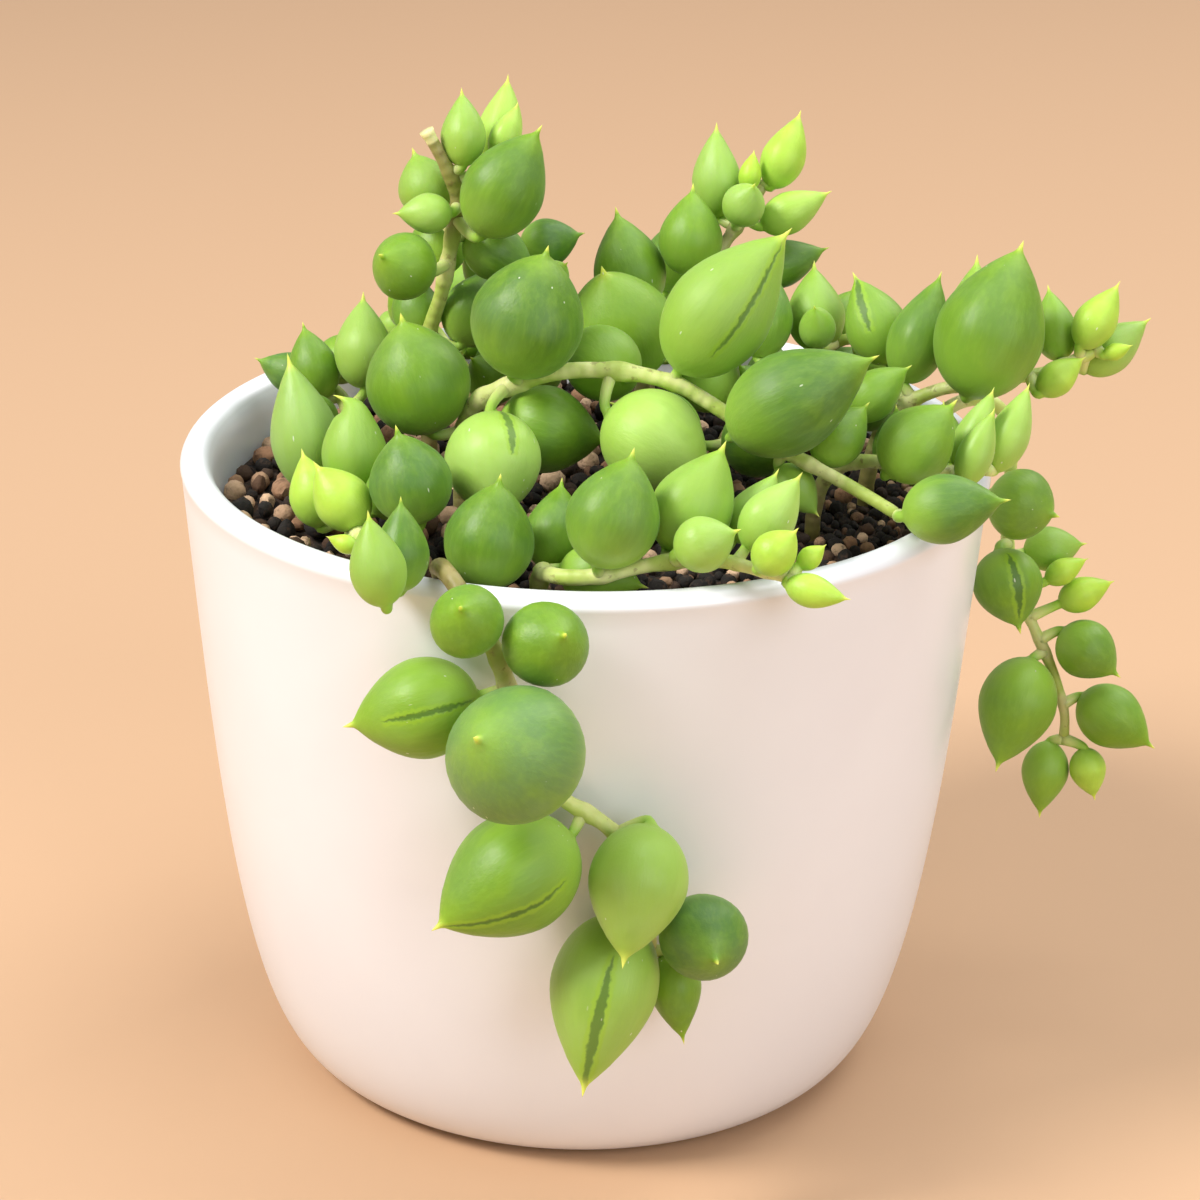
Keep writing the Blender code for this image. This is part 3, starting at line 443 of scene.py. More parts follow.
def pot_radius(z):
    """Outer radius of the pot at height z."""
    side = RIM_RADIUS - SIDE_TAPER * (1 - z / POT_HEIGHT)
    low = min(max(1 - z / FOOT_ROUND_HEIGHT, 0), 1)
    rounding = (1 - low**FOOT_ROUND_POWER) ** (1 / FOOT_ROUND_POWER)
    return FOOT_RADIUS + (side - FOOT_RADIUS) * rounding


def cavity_radius(z):
    """Inner radius of the pot at height z, above its floor."""
    return max(pot_radius(z) - WALL, FOOT_RADIUS - WALL)


def path_reach(points):
    """How far along a path each of its points is."""
    return np.concatenate(([0], np.cumsum(lengths(np.diff(points, axis=0)))))


def smooth_route(points, step):
    """Evenly spaced points on a Catmull-Rom curve through the given points."""
    points = np.array(points, float)
    ends = np.vstack((2 * points[0] - points[1], points, 2 * points[-1] - points[-2]))
    dense = []
    for a, b, c, d in zip(ends, ends[1:], ends[2:], ends[3:]):
        for t in np.linspace(0, 1, ROUTE_SAMPLES, endpoint=False):
            dense.append(0.5 * (2 * b + (c - a) * t + (2 * a - 5 * b + 4 * c - d) * t**2
                                + (3 * b - a - 3 * c + d) * t**3))
    dense = np.array(dense + [points[-1]])
    along = path_reach(dense)
    wanted = np.linspace(0, along[-1], max(4, round(along[-1] / step)) + 1)
    return np.column_stack([np.interp(wanted, along, dense[:, axis]) for axis in range(3)])


def strand_route(strand, step):
    """The stem's points: straight up out of its hole, and then along its route."""
    x, y = strand.root
    above = smooth_route([(x, y, SOIL_TOP + ROOT_RISE)] + strand.route, step)
    return np.vstack(((x, y, SOIL_TOP - ROOT_DEPTH), above))


def filler_leaves(strand):
    """A run of leaves set spirally round the stem, smaller and younger towards its tip."""
    rule = strand.filler
    if rule is None:
        return []
    draw = np.random.default_rng(rule.seed)
    stem = strand_route(strand, FILLER_STEP)[1:]
    found = []
    for i, share in enumerate(np.linspace(rule.first, rule.last, rule.count)):
        spot = round(share * (len(stem) - 1))
        low, high = max(spot - 1, 0), min(spot + 1, len(stem) - 1)
        along = unit(stem[high] - stem[low])
        side = unit(np.cross(along, (0, 0, 1) if abs(along[2]) < STEEP else (1, 0, 0)))
        turn = radians(GOLDEN_ANGLE) * i + draw.uniform(-SWAY, SWAY)
        out = side * cos(turn) + np.cross(along, side) * sin(turn)
        aim = unit(out + along * LEAN + (0, 0, DROP if along[2] < HANGING else RISE))
        heading = degrees(atan2(aim[1], aim[0]))
        rise = degrees(asin(aim[2]))
        base = stem[spot] + out * STANDOFF
        size = (1 - TIP_SHRINK * i / rule.count) * draw.uniform(*SIZE_SPREAD)
        youth = TIP_YOUTH * i / rule.count
        found.append(leaf(*base, heading, rise, rule.length * size, rule.width * size, youth))
    return found


def body_length(item):
    """Length of a leaf without its nib."""
    return item.length - NIB * min(item.width / FULL_NIB_WIDTH, 1)


def leaf_roundness(length, width):
    """0 for a slim leaf and 1 for a round one."""
    return min(max((width / length - SLIM_SHAPE) / (ROUND_SHAPE - SLIM_SHAPE), 0), 1)


def leaf_radius(share, length, width):
    """Radius of a leaf's body at a share of its length: round towards its base, drawn out to its tip."""
    roundness = leaf_roundness(length, width)
    widest, bulge, power = (slim + (full - slim) * roundness for slim, full in (WIDEST, TIP_BULGE, TIP_POWER))
    if share < widest:
        return width / 2 * sqrt(1 - (1 - share / widest) ** 2)
    return width / 2 * (1 - ((share - widest) / (1 - widest)) ** bulge) ** power


def wall_distance(places):
    """Distance from the wall's middle line, and the way from it, for points in the half-plane (r, z)."""
    heights = np.linspace(0, POT_HEIGHT - WALL / 2, WALL_SAMPLES)
    line = np.array([(pot_radius(z) - WALL / 2, z) for z in heights])
    away = places[:, None, :] - line[None]
    reach = lengths(away)
    closest = reach.argmin(axis=1)
    rows = np.arange(len(places))
    return reach[rows, closest], away[rows, closest] / reach[rows, closest, None]


def push_apart(places, others, wanted):
    """How far each place moves from its other until they are as far apart as wanted."""
    away = places - others
    distance = lengths(away) + 1e-6
    return away * (np.maximum(wanted - distance, 0) / distance)[:, None]


def push_from_pot(centres, radius):
    """How far each ball moves to clear the pot's wall and, inside the pot, the soil."""
    level = np.hypot(centres[:, 0], centres[:, 1])
    reach, out = wall_distance(np.column_stack((level, centres[:, 2])))
    deep = np.maximum(WALL / 2 + TOUCH_GAP + radius - reach, 0)
    push = np.column_stack((centres[:, :2] / level[:, None] * out[:, :1], out[:, 1])) * deep[:, None]
    sunk = SOIL_TOP + GRAIN_RELIEF + TOUCH_GAP + radius - centres[:, 2]
    push[:, 2] += np.maximum(sunk, 0) * (level < RIM_RADIUS - WALL)
    return push


def summed(owners, vectors, count):
    """Sum of each owner's vectors."""
    return np.column_stack([np.bincount(owners, vectors[:, axis], count) for axis in range(3)])


def settle(leaves, owners, stems):
    """Shift leaves apart until none crosses another, a stem, the pot or the soil, each near its own place."""
    count, balls = len(leaves), len(BALL_SHARES)
    aims = np.array([aim_of(item.heading, item.rise) for item in leaves])
    bases = np.array([item.base for item in leaves], float)
    along = aims[:, None] * np.outer([item.length for item in leaves], BALL_SHARES)[..., None]
    radius = np.array([leaf_radius(s, item.length, item.width) for item in leaves for s in BALL_SHARES])
    which = np.repeat(np.arange(count), balls)
    owner = owners[which]
    share = np.tile(BALL_SHARES, count)
    centres = (bases[:, None] + along).reshape(-1, 3)

    apart = radius[:, None] + radius + np.where(owner[:, None] == owner, SELF_GAP, TOUCH_GAP)
    near = lengths(centres[:, None] - centres) < apart + NEAR
    first, second = np.nonzero(near & (which[:, None] != which))
    apart = apart[first, second]

    stem_points = np.vstack([points for points, _ in stems])
    stem_radius = np.concatenate([np.full(len(points), thick / 2) for points, thick in stems])
    stem_owner = np.concatenate([np.full(len(points), i) for i, (points, _) in enumerate(stems)])
    own = owner[:, None] == stem_owner
    clear = radius[:, None] + stem_radius + np.where(own, 0, TOUCH_GAP)
    near = lengths(centres[:, None] - stem_points) < clear + NEAR
    ball, stem = np.nonzero(near & ~(own & (share[:, None] < BASE_SHARE)))
    clear = clear[ball, stem]

    moved = np.zeros((count, 3))
    for _ in range(SETTLE_ROUNDS):
        centres = ((bases + moved)[:, None] + along).reshape(-1, 3)
        from_leaves = push_apart(centres[first], centres[second], apart)
        from_stems = push_apart(centres[ball], stem_points[stem], clear)
        push = push_from_pot(centres, radius) + summed(first, from_leaves / 2, len(centres))
        push += summed(ball, from_stems, len(centres)) / 2
        touched = np.bincount(which, lengths(push) > 0, count)
        step = summed(which, push, count)
        moved += SETTLE_STEP * step / np.maximum(touched, 1)[:, None] - SPRING * moved
    return bases + moved


class Shape:
    """Collects closed bodies into one mesh, with six values at each point for its materials."""

    def __init__(self):
        self.points, self.faces, self.slots, self.marks = [], [], [], []
        self.count = 0

    def add(self, points, faces, slot, marks):
        """Adds a body. marks has a row of values for each point, or one row for all."""
        self.faces += [[corner + self.count for corner in face] for face in faces]
        self.slots += [slot] * len(faces)
        self.points.append(points)
        self.marks.append(np.broadcast_to(marks, (len(points), 6)))
        self.count += len(points)

    def add_loft(self, rings, ends, slot, marks=((0,) * 6, np.zeros((1, 6)), (0,) * 6)):
        """Adds a body through rings (ring, side, xyz), with a point at each end.

        marks has a row for the first end, rows for the rings or for all their points, and a last row.
        """
        turns, sides = rings.shape[:2]
        around = np.arange(sides)
        onward = (around + 1) % sides
        lower = 1 + sides * np.arange(turns - 1)[:, None]
        upper = lower + sides
        quads = np.stack((lower + around, lower + onward, upper + onward, upper + around), axis=-1)
        last = 1 + sides * turns
        top = last - sides
        faces = [(0, 1 + b, 1 + a) for a, b in zip(around, onward)]
        faces += quads.reshape(-1, 4).tolist()
        faces += [(last, top + a, top + b) for a, b in zip(around, onward)]
        middle = marks[1] if marks[1].ndim == 3 else marks[1][:, None]
        middle = np.broadcast_to(middle, (turns, sides, 6)).reshape(-1, 6)
        points = np.vstack((ends[0], rings.reshape(-1, 3), ends[1]))
        self.add(points, faces, slot, np.vstack((marks[0], middle, marks[2])))

    def to_object(self, name, materials):
        """The mesh object, in metres, with its materials and its two attributes."""
        mesh = bpy.data.meshes.new(name)
        mesh.from_pydata((np.vstack(self.points) * MM).tolist(), [], self.faces)
        for material in materials:
            mesh.materials.append(material)
        mesh.polygons.foreach_set("material_index", self.slots)
        marks = np.vstack(self.marks)
        for title, values in (("place", marks[:, :3]), ("kind", marks[:, 3:])):
            attribute = mesh.attributes.new(title, "FLOAT_VECTOR", "POINT")
            attribute.data.foreach_set("vector", values.ravel())
        mesh.shade_smooth()
        mesh.update()
        obj = bpy.data.objects.new(name, mesh)
        bpy.context.scene.collection.objects.link(obj)
        return obj


def across(direction, wanted):
    """The part of wanted that is square to direction, as a unit vector."""
    return unit(wanted - np.dot(wanted, direction) * direction)


def carried_frames(points, first_front):
    """At each point of a path: its direction and two axes square to it, carried along without twist."""
    along = unit(np.gradient(points, axis=0))
    front = across(along[0], first_front)
    fronts = []
    for direction in along:
        front = across(direction, front)
        fronts.append(front)
    fronts = np.array(fronts)
    return along, fronts, np.cross(along, fronts)


def side_angles(count):
    return tau * np.arange(count) / count


def tube_rings(points, fronts, sides, radii, count):
    """Rings round a path: radii has a row for each point, with one value or one for each of count sides."""
    angle = side_angles(count)
    spread = fronts[:, None] * np.cos(angle)[None, :, None] + sides[:, None] * np.sin(angle)[None, :, None]
    return points[:, None] + spread * np.broadcast_to(radii, (len(points), count))[..., None]


def leaf_radii(item, share):
    """Radius along the whole leaf: a plump body that is drawn out into a small nib."""
    length, width = item.length, item.width
    body = np.minimum(share * length / body_length(item), 1)
    plump = np.array([leaf_radius(s, length, width) for s in body])
    nib = NIB_WIDTH * width * (1 - share) / (1 - NIB_START) * (share > NIB_START)
    base = PETIOLE_RADIUS * np.maximum(1 - share / BASE_SHARE, 0)
    return (plump**BLEND_POWER + nib**BLEND_POWER + base**BLEND_POWER) ** (1 / BLEND_POWER)


def petiole_path(stem, base, aim):
    """From inside the stem to the leaf's base, where it runs along the leaf."""
    start = stem[nearest(stem, base)]
    reach = lengths(base - start)
    bend = base - aim * reach * PETIOLE_BEND * min(reach / LONG_PETIOLE, 1)
    t = np.linspace(0, 1, PETIOLE_RINGS, endpoint=False)[:, None]
    return (1 - t) ** 2 * start + 2 * t * (1 - t) * bend + t**2 * base


def ring_shares():
    """Where a leaf's rings lie along it, closer together towards both ends."""
    share = 0.5 - 0.5 * np.cos(pi * np.linspace(RING_CROWDING, 1 - RING_CROWDING, LEAF_RINGS))
    return (share - share[0]) / (share[-1] - share[0]) * RING_SPAN + FIRST_RING


def leaf_front(aim, slit):
    """The way that a leaf's keel faces, or its slit where it has one."""
    if slit is None:
        return across(aim, np.array((0, 0, 1)) + TOWARDS_VIEWER * FRONT_TO_VIEWER)
    facing = across(aim, TOWARDS_VIEWER)
    turn = radians(slit.turn)
    return facing * cos(turn) + np.cross(aim, facing) * sin(turn)


def leaf_axis(item, base, aim, front, share, hooked, draw):
    """A leaf's middle line, which bends a little where the leaf is slim."""
    most = ARCH * item.length
    slimness = 1 - leaf_roundness(item.length, item.width)
    arch = most * draw.uniform(-1, 1) * slimness
    lean = most * draw.uniform(-SIDE_ARCH, SIDE_ARCH) * slimness
    share = share[:, None]
    curve = 4 * share * (1 - share)
    axis = base + aim * (share * item.length) + front * (arch * curve) + np.cross(aim, front) * (lean * curve)
    if hooked:
        bend = np.clip((share - HOOK_START) / (1 - HOOK_START), 0, 1) ** 2 * HOOK_BEND
        axis += bend * (-1, 0, 0) - bend * aim * HOOK_BACK
    return axis


def turned_frames(points, front):
    """Frames along a petiole and its leaf, turned little by little to end at the leaf's own front."""
    along, fronts, _ = carried_frames(points, across(unit(points[1] - points[0]), front))
    mix = np.linspace(0, 1, PETIOLE_RINGS + TURNING_RINGS)
    weight = np.concatenate((mix, np.ones(len(points) - len(mix))))[:, None]
    fronts = fronts + (front - fronts[-1]) * weight
    fronts = unit(fronts - (fronts * along).sum(axis=1)[:, None] * along)
    return along, fronts, np.cross(along, fronts)


def leaf_relief(item, share, slit):
    """Relief of the keel or the slit's groove, as shares of the radius, and the slit's half width."""
    wrapped = (side_angles(LEAF_SIDES) + pi) % tau - pi
    ridge = np.exp(-(wrapped / KEEL_REACH) ** 2)
    if slit is None:
        under = np.exp(-((np.abs(wrapped) - pi) / KEEL_REACH) ** 2)
        keel = SLIM_KEEL + (ROUND_KEEL - SLIM_KEEL) * leaf_roundness(item.length, item.width)
        taper = np.sqrt(np.sin(pi * share))
        return (ridge + UNDER_KEEL * under) * keel * taper[:, None], np.zeros(len(share))
    inside = np.clip(np.minimum(share - slit.start, slit.end - share) / GROOVE_FADE, 0, 1)
    through = np.clip((share - slit.start) / (slit.end - slit.start), 0, 1)
    return -GROOVE * ridge * inside[:, None], slit.width * np.sin(pi * through) ** SLIT_TAPER


def leaf_widths(item, share, relief, draw):
    """Radius at each side of each ring: the petiole's rings, and then the leaf's."""
    angle = side_angles(LEAF_SIDES)
    phase = draw.uniform(0, tau, 3)
    wobble = LEAF_WOBBLE * np.sin(3 * angle + phase[0]) * np.sin(4 * share + phase[1])[:, None]
    oval = OVAL * np.cos(2 * angle + phase[2])
    body = leaf_radii(item, share)[:, None] * (1 + relief + wobble + oval)
    petiole = PETIOLE_RADIUS * (1 + PETIOLE_FLARE * np.linspace(1, 0, PETIOLE_RINGS) ** 2)
    return np.vstack((np.repeat(petiole[:, None], LEAF_SIDES, axis=1), body))


def add_leaf(shape, item, base, stem, strand, number, draw):
    """One fine leaf with its petiole, in one loft."""
    slit = strand.slits.get(number)
    aim = aim_of(item.heading, item.rise)
    share = ring_shares()
    front = leaf_front(aim, slit)
    axis = leaf_axis(item, base, aim, front, share, number == strand.hooked, draw)
    points = np.vstack((petiole_path(stem, base, aim), axis))
    along, fronts, sides = turned_frames(points, front)
    relief, slit_width = leaf_relief(item, share, slit)
    rings = tube_rings(points, fronts, sides, leaf_widths(item, share, relief, draw), LEAF_SIDES)
    tip = axis[-1] + along[-1] * item.length * (1 - share[-1])

    out = rings - points[:, None]
    aside, ahead = ((out * way[:, None]).sum(axis=2) for way in (sides, fronts))
    stretch = np.concatenate((np.linspace(PETIOLE_SHARE, 0, PETIOLE_RINGS, endpoint=False), share))
    slits = np.concatenate((np.zeros(PETIOLE_RINGS), slit_width))
    kind = (item.youth, 0, strand.shades.get(number, draw.uniform(0, 1)))
    values = (stretch[:, None], aside, ahead, kind[0], slits[:, None], kind[2])
    marks = np.stack(np.broadcast_arrays(*values), axis=-1)
    shape.add_loft(rings, (points[0], tip), 0, ((PETIOLE_SHARE, 0, 0, *kind), marks, (1, 0, 0, *kind)))


def stem_radii(strand, points, reach, joints):
    """Half thickness along a stem."""
    first, last = strand.thick
    radius = np.linspace(first / 2, last / 2, len(points)) * STEM_SLIM
    for joint in joints:
        place = reach[nearest(points, joint)]
        radius *= 1 + NODE_SWELL * np.exp(-((reach - place) / NODE_REACH) ** 2)
    left = reach[-1] - reach
    if strand.cut:
        return radius * (1 + CUT_FLARE * np.exp(-left / CUT_LENGTH * 2))
    near_tip = np.clip(left / TIP_ROUNDING, 0, 1)
    return radius * np.sqrt(np.maximum(1 - (1 - near_tip) ** 2, TIP_FLATNESS))


def stem_brown_and_shade(strand, reach):
    """How brown a stem is along its length: at its root, which on the trailing front stem is also painted
    shade, and towards its upper end.
    """
    climb = (reach / reach[-1] - BROWN_START) / (1 - BROWN_START) * BROWN_STEEPNESS
    root_brown, root_reach = strand.root_brown
    return strand.brown * np.clip(climb, BROWN_LEAST, 1) + root_brown * np.clip(1 - reach / root_reach, 0, 1)


def add_stem(shape, strand, joints, draw):
    """One stem: thicker where each petiole joins it, and rounded, or cut across, at its end."""
    points = strand_route(strand, STEM_STEP)
    _, fronts, sides = carried_frames(points, np.array(STEM_FRONT))
    reach = path_reach(points)
    radius = stem_radii(strand, points, reach, joints)
    phase = draw.uniform(0, tau, 2)
    turning = np.sin(2 * side_angles(STEM_SIDES) + phase[0])
    wobble = STEM_WOBBLE * turning * np.sin(reach * STEM_WAVE + phase[1])[:, None]
    rings = tube_rings(points, fronts, sides, radius[:, None] * (1 + wobble), STEM_SIDES)
    share = reach / reach[-1]
    cut = (reach[-1] - reach < CUT_LENGTH) * strand.cut
    values = (reach, share, cut, share, stem_brown_and_shade(strand, reach), draw.uniform(0, 1))
    marks = np.stack(np.broadcast_arrays(*values), axis=-1)
    shape.add_loft(rings, (points[0], points[-1]), 1, (marks[0], marks, marks[-1]))


def build_strand(name, strand, leaves, bases, materials, draw):
    """One leafy stem as a fine mesh that stands for its plain solid."""
    shape = Shape()
    stem = strand_route(strand, FINE_STEP)
    joints = [stem[nearest(stem, base)] for base in bases]
    add_stem(shape, strand, joints, draw)
    for number, (item, base) in enumerate(zip(leaves, bases)):
        add_leaf(shape, item, base, stem, strand, number, draw)
    piece = shape.to_object(name + "_leafy", materials)
    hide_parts(name)
    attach(piece, "root")


def lathe_rings(outline, sides):
    """Rings of a turned shape from its (radius, height) points, and its two points on the axis."""
    angle = side_angles(sides)
    outline = np.array(outline)
    radii, heights = outline[1:-1, 0], outline[1:-1, 1]
    rings = np.stack((radii[:, None] * np.cos(angle), radii[:, None] * np.sin(angle),
                      np.repeat(heights[:, None], sides, axis=1)), axis=-1)
    return rings, ((0, 0, outline[0, 1]), (0, 0, outline[-1, 1]))


def pot_outline():
    """From the middle of the underside, up the outside, over the rim and down to the inner floor."""
    foot = [(0, 0), (FOOT_RADIUS * FOOT_FLAT, 0), (FOOT_RADIUS - FOOT_EDGE, 0)]
    heights = (POT_HEIGHT - WALL / 2) * np.linspace(0, 1, POT_RINGS) ** 2
    outer = [(pot_radius(z), z) for z in heights[1:]]
    centre, middle = pot_radius(POT_HEIGHT) - WALL / 2, POT_HEIGHT - WALL / 2
    arc = pi * np.linspace(0, 1, RIM_RINGS)[1:-1]
    rim = [(centre + WALL / 2 * cos(a), middle + WALL / 2 * sin(a)) for a in arc]
    inner = [(cavity_radius(z), z) for z in np.linspace(middle, FLOOR, POT_RINGS // 2)]
    return foot + outer + rim + inner + [(0, FLOOR)]


def build_pot(material):
    """The glazed pot."""
    shape = Shape()
    shape.add_loft(*lathe_rings(pot_outline(), POT_SIDES), 0)
    pot = shape.to_object("pot_glazed", [material])
    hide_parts("pot")
    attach(pot, "root")


def rock_blank():
    """Corners and faces of a small ball of 80 triangles."""
    bm = bmesh.new()
    bmesh.ops.create_icosphere(bm, subdivisions=2, radius=1)
    corners = np.array([vertex.co for vertex in bm.verts])
    faces = [[vertex.index for vertex in face.verts] for face in bm.faces]
    bm.free()
    return corners, faces


def cut_rock(ball, size, draw):
    """Corners of one granule: a ball with flat cuts, squashed."""
    normals = unit(draw.normal(size=(GRAIN_CUTS, 3)))
    cuts = draw.uniform(*CUT_DEPTHS, GRAIN_CUTS)
    depth = ball @ normals.T
    limit = np.where(depth > CUT_FACING, cuts / np.maximum(depth, CUT_FACING), UNCUT).min(axis=1)
    squash = draw.uniform(*GRAIN_SQUASH, 3)
    return ball * np.minimum(limit, 1)[:, None] * squash * size


def too_close(places, x, y, reach):
    """Whether a place is nearer than reach to any of the places."""
    return (np.hypot(places[:, 0] - x, places[:, 1] - y) < reach).any()


def add_grains(shape, draw):
    """Granules of many sizes, cut to rough facets, spread over the bed and round the stems."""
    ball, faces = rock_blank()
    edge = cavity_radius(SOIL_TOP) - SOIL_GAP
    roots = np.array([strand.root for strand in STRANDS.values()])
    placed = np.zeros((0, 3))
    for _ in range(GRAIN_COUNT * GRAIN_TRIES):
        if len(placed) >= GRAIN_COUNT:
            break
        turn, share = draw.uniform(0, tau), sqrt(draw.uniform(0, 1))
        size = draw.uniform(0, 1) ** SMALL_GRAINS * (GRAIN_SIZES[1] - GRAIN_SIZES[0]) + GRAIN_SIZES[0]
        aside = share * cos(turn - radians(GRAIN_SORT_HEADING))
        size *= 1 - GRAIN_SORTING * aside
        reach = share * (edge - size)
        x, y = reach * cos(turn), reach * sin(turn)
        if too_close(placed, x, y, GRAIN_SPACING * (placed[:, 2] + size)):
            continue
        if too_close(roots, x, y, ROOT_CLEARANCE + size):
            continue
        placed = np.vstack((placed, (x, y, size)))
        rock = cut_rock(ball, size, draw)
        perch = SOIL_TOP - BED_DROP + size * draw.uniform(*GRAIN_PERCH)
        height = min(perch, GRAIN_TOP - rock[:, 2].max())
        # Granules darken towards the sort heading: painted shade
        colour = draw.uniform(0, 1) ** (GRAIN_DARKNESS + GRAIN_PAINTED_SHADE * aside)
        spot = (x, y, height)
        shape.add(rock + spot, faces, 1, (*spot, colour, size, draw.uniform(0, 1)))


def add_bed(shape):
    """The body of soil under the granules, with a lumpy top."""
    edge = cavity_radius(SOIL_TOP) - SOIL_GAP
    heights = (FLOOR + SOIL_GAP, *BED_HEIGHTS, SOIL_TOP - BED_DROP)
    side = [(cavity_radius(z) - SOIL_GAP, z) for z in heights]
    top = [(edge * share, SOIL_TOP - BED_DROP) for share in np.linspace(BED_SHOULDER, 0, BED_RINGS)]
    rings, ends = lathe_rings([(0, FLOOR + SOIL_GAP)] + side + top, BED_SIDES)
    lumps = rings[len(side):]
    x_wave, y_wave = LUMP_WAVES
    lumps[..., 2] += GRAIN_RELIEF * np.sin(x_wave * lumps[..., 0]) * np.sin(y_wave * lumps[..., 1] + 1)
    shape.add_loft(rings, ends, 0)


def build_soil(materials):
    """The bed and its granules, in one piece."""
    shape = Shape()
    add_bed(shape)
    add_grains(shape, np.random.default_rng(GRAIN_SEED))
    soil = shape.to_object("soil_granules", materials)
    soil.data.set_sharp_from_angle(angle=radians(SHARP_ANGLE))
    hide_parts("soil")
    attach(soil, "root")


class Paint:
    """A material, its nodes and its shader."""

    def __init__(self, name, roughness):
        self.material = bpy.data.materials.new(name)
        self.material.use_nodes = True
        self.tree = self.material.node_tree
        self.shader = self.tree.nodes["Principled BSDF"]
        self.finish({"Roughness": roughness})

    def fill(self, node, inputs):
        """Links or sets a node's inputs. A plain number as key is an input's place."""
        for key, value in inputs.items():
            socket = node.inputs[key]
            if isinstance(value, bpy.types.NodeSocket):
                self.tree.links.new(value, socket)
            elif isinstance(value, tuple) and socket.type == "RGBA":
                socket.default_value = (*value, 1)
            else:
                socket.default_value = value

    def finish(self, inputs):
        """Links or sets the shader's inputs, and gives the material."""
        self.fill(self.shader, inputs)
        return self.material

    def put(self, kind, inputs, **settings):
        """The outputs of a new node."""
        node = self.tree.nodes.new("ShaderNode" + kind)
        for name, value in settings.items():
            setattr(node, name, value)
        self.fill(node, inputs)
        return node.outputs

    def maths(self, operation, a, b=0):
        return self.put("Math", {0: a, 1: b}, operation=operation)[0]

    def plus(self, a, b):
        return self.maths("ADD", a, b)

    def minus(self, a, b):
        return self.maths("SUBTRACT", a, b)

    def times(self, a, b):
        return self.maths("MULTIPLY", a, b)

    def fade(self, value, low, high, start=0, end=1):
        """start at low, end at high, and a smooth step between. low may be the greater."""
        inputs = {"Value": value, "From Min": low, "From Max": high, "To Min": start, "To Max": end}
        return self.put("MapRange", inputs, interpolation_type="SMOOTHSTEP")[0]

    def blend(self, factor, a, b):
        """Two colours mixed."""
        return self.put("Mix", {0: factor, 6: a, 7: b}, data_type="RGBA", blend_type="MIX")[2]

    def layer(self, colour, rows):
        """Colours laid over each other. A row: a value, where it fades in from and to, how much, a colour."""
        for value, low, high, most, over in rows:
            colour = self.blend(self.fade(value, low, high, 0, most), colour, over)
        return colour

    def grain(self, vector, scale, detail=2, roughness=0.5):
        """Noise around 0.5."""
        inputs = {"Vector": vector, "Scale": scale, "Detail": detail, "Roughness": roughness}
        return self.put("TexNoise", inputs)[0]

    def spread(self, place, factors, own):
        """A place scaled along each axis, and moved by own, so that each leaf has its own pattern."""
        scaled = self.put("VectorMath", {0: place, 1: factors}, operation="MULTIPLY")[0]
        return self.put("VectorMath", {0: scaled, 1: own}, operation="ADD")[0]

    def place(self):
        return self.put("TexCoord", {})["Object"]

    def parts(self, vector):
        return self.put("SeparateXYZ", {0: vector})

    def attribute(self, name):
        """A point attribute."""
        return self.put("Attribute", {}, attribute_name=name)["Vector"]

    def bump(self, height, distance, strength=1):
        """A surface that rises with height, by up to a distance in metres."""
        return self.put("Bump", {"Height": height, "Distance": distance, "Strength": strength})[0]


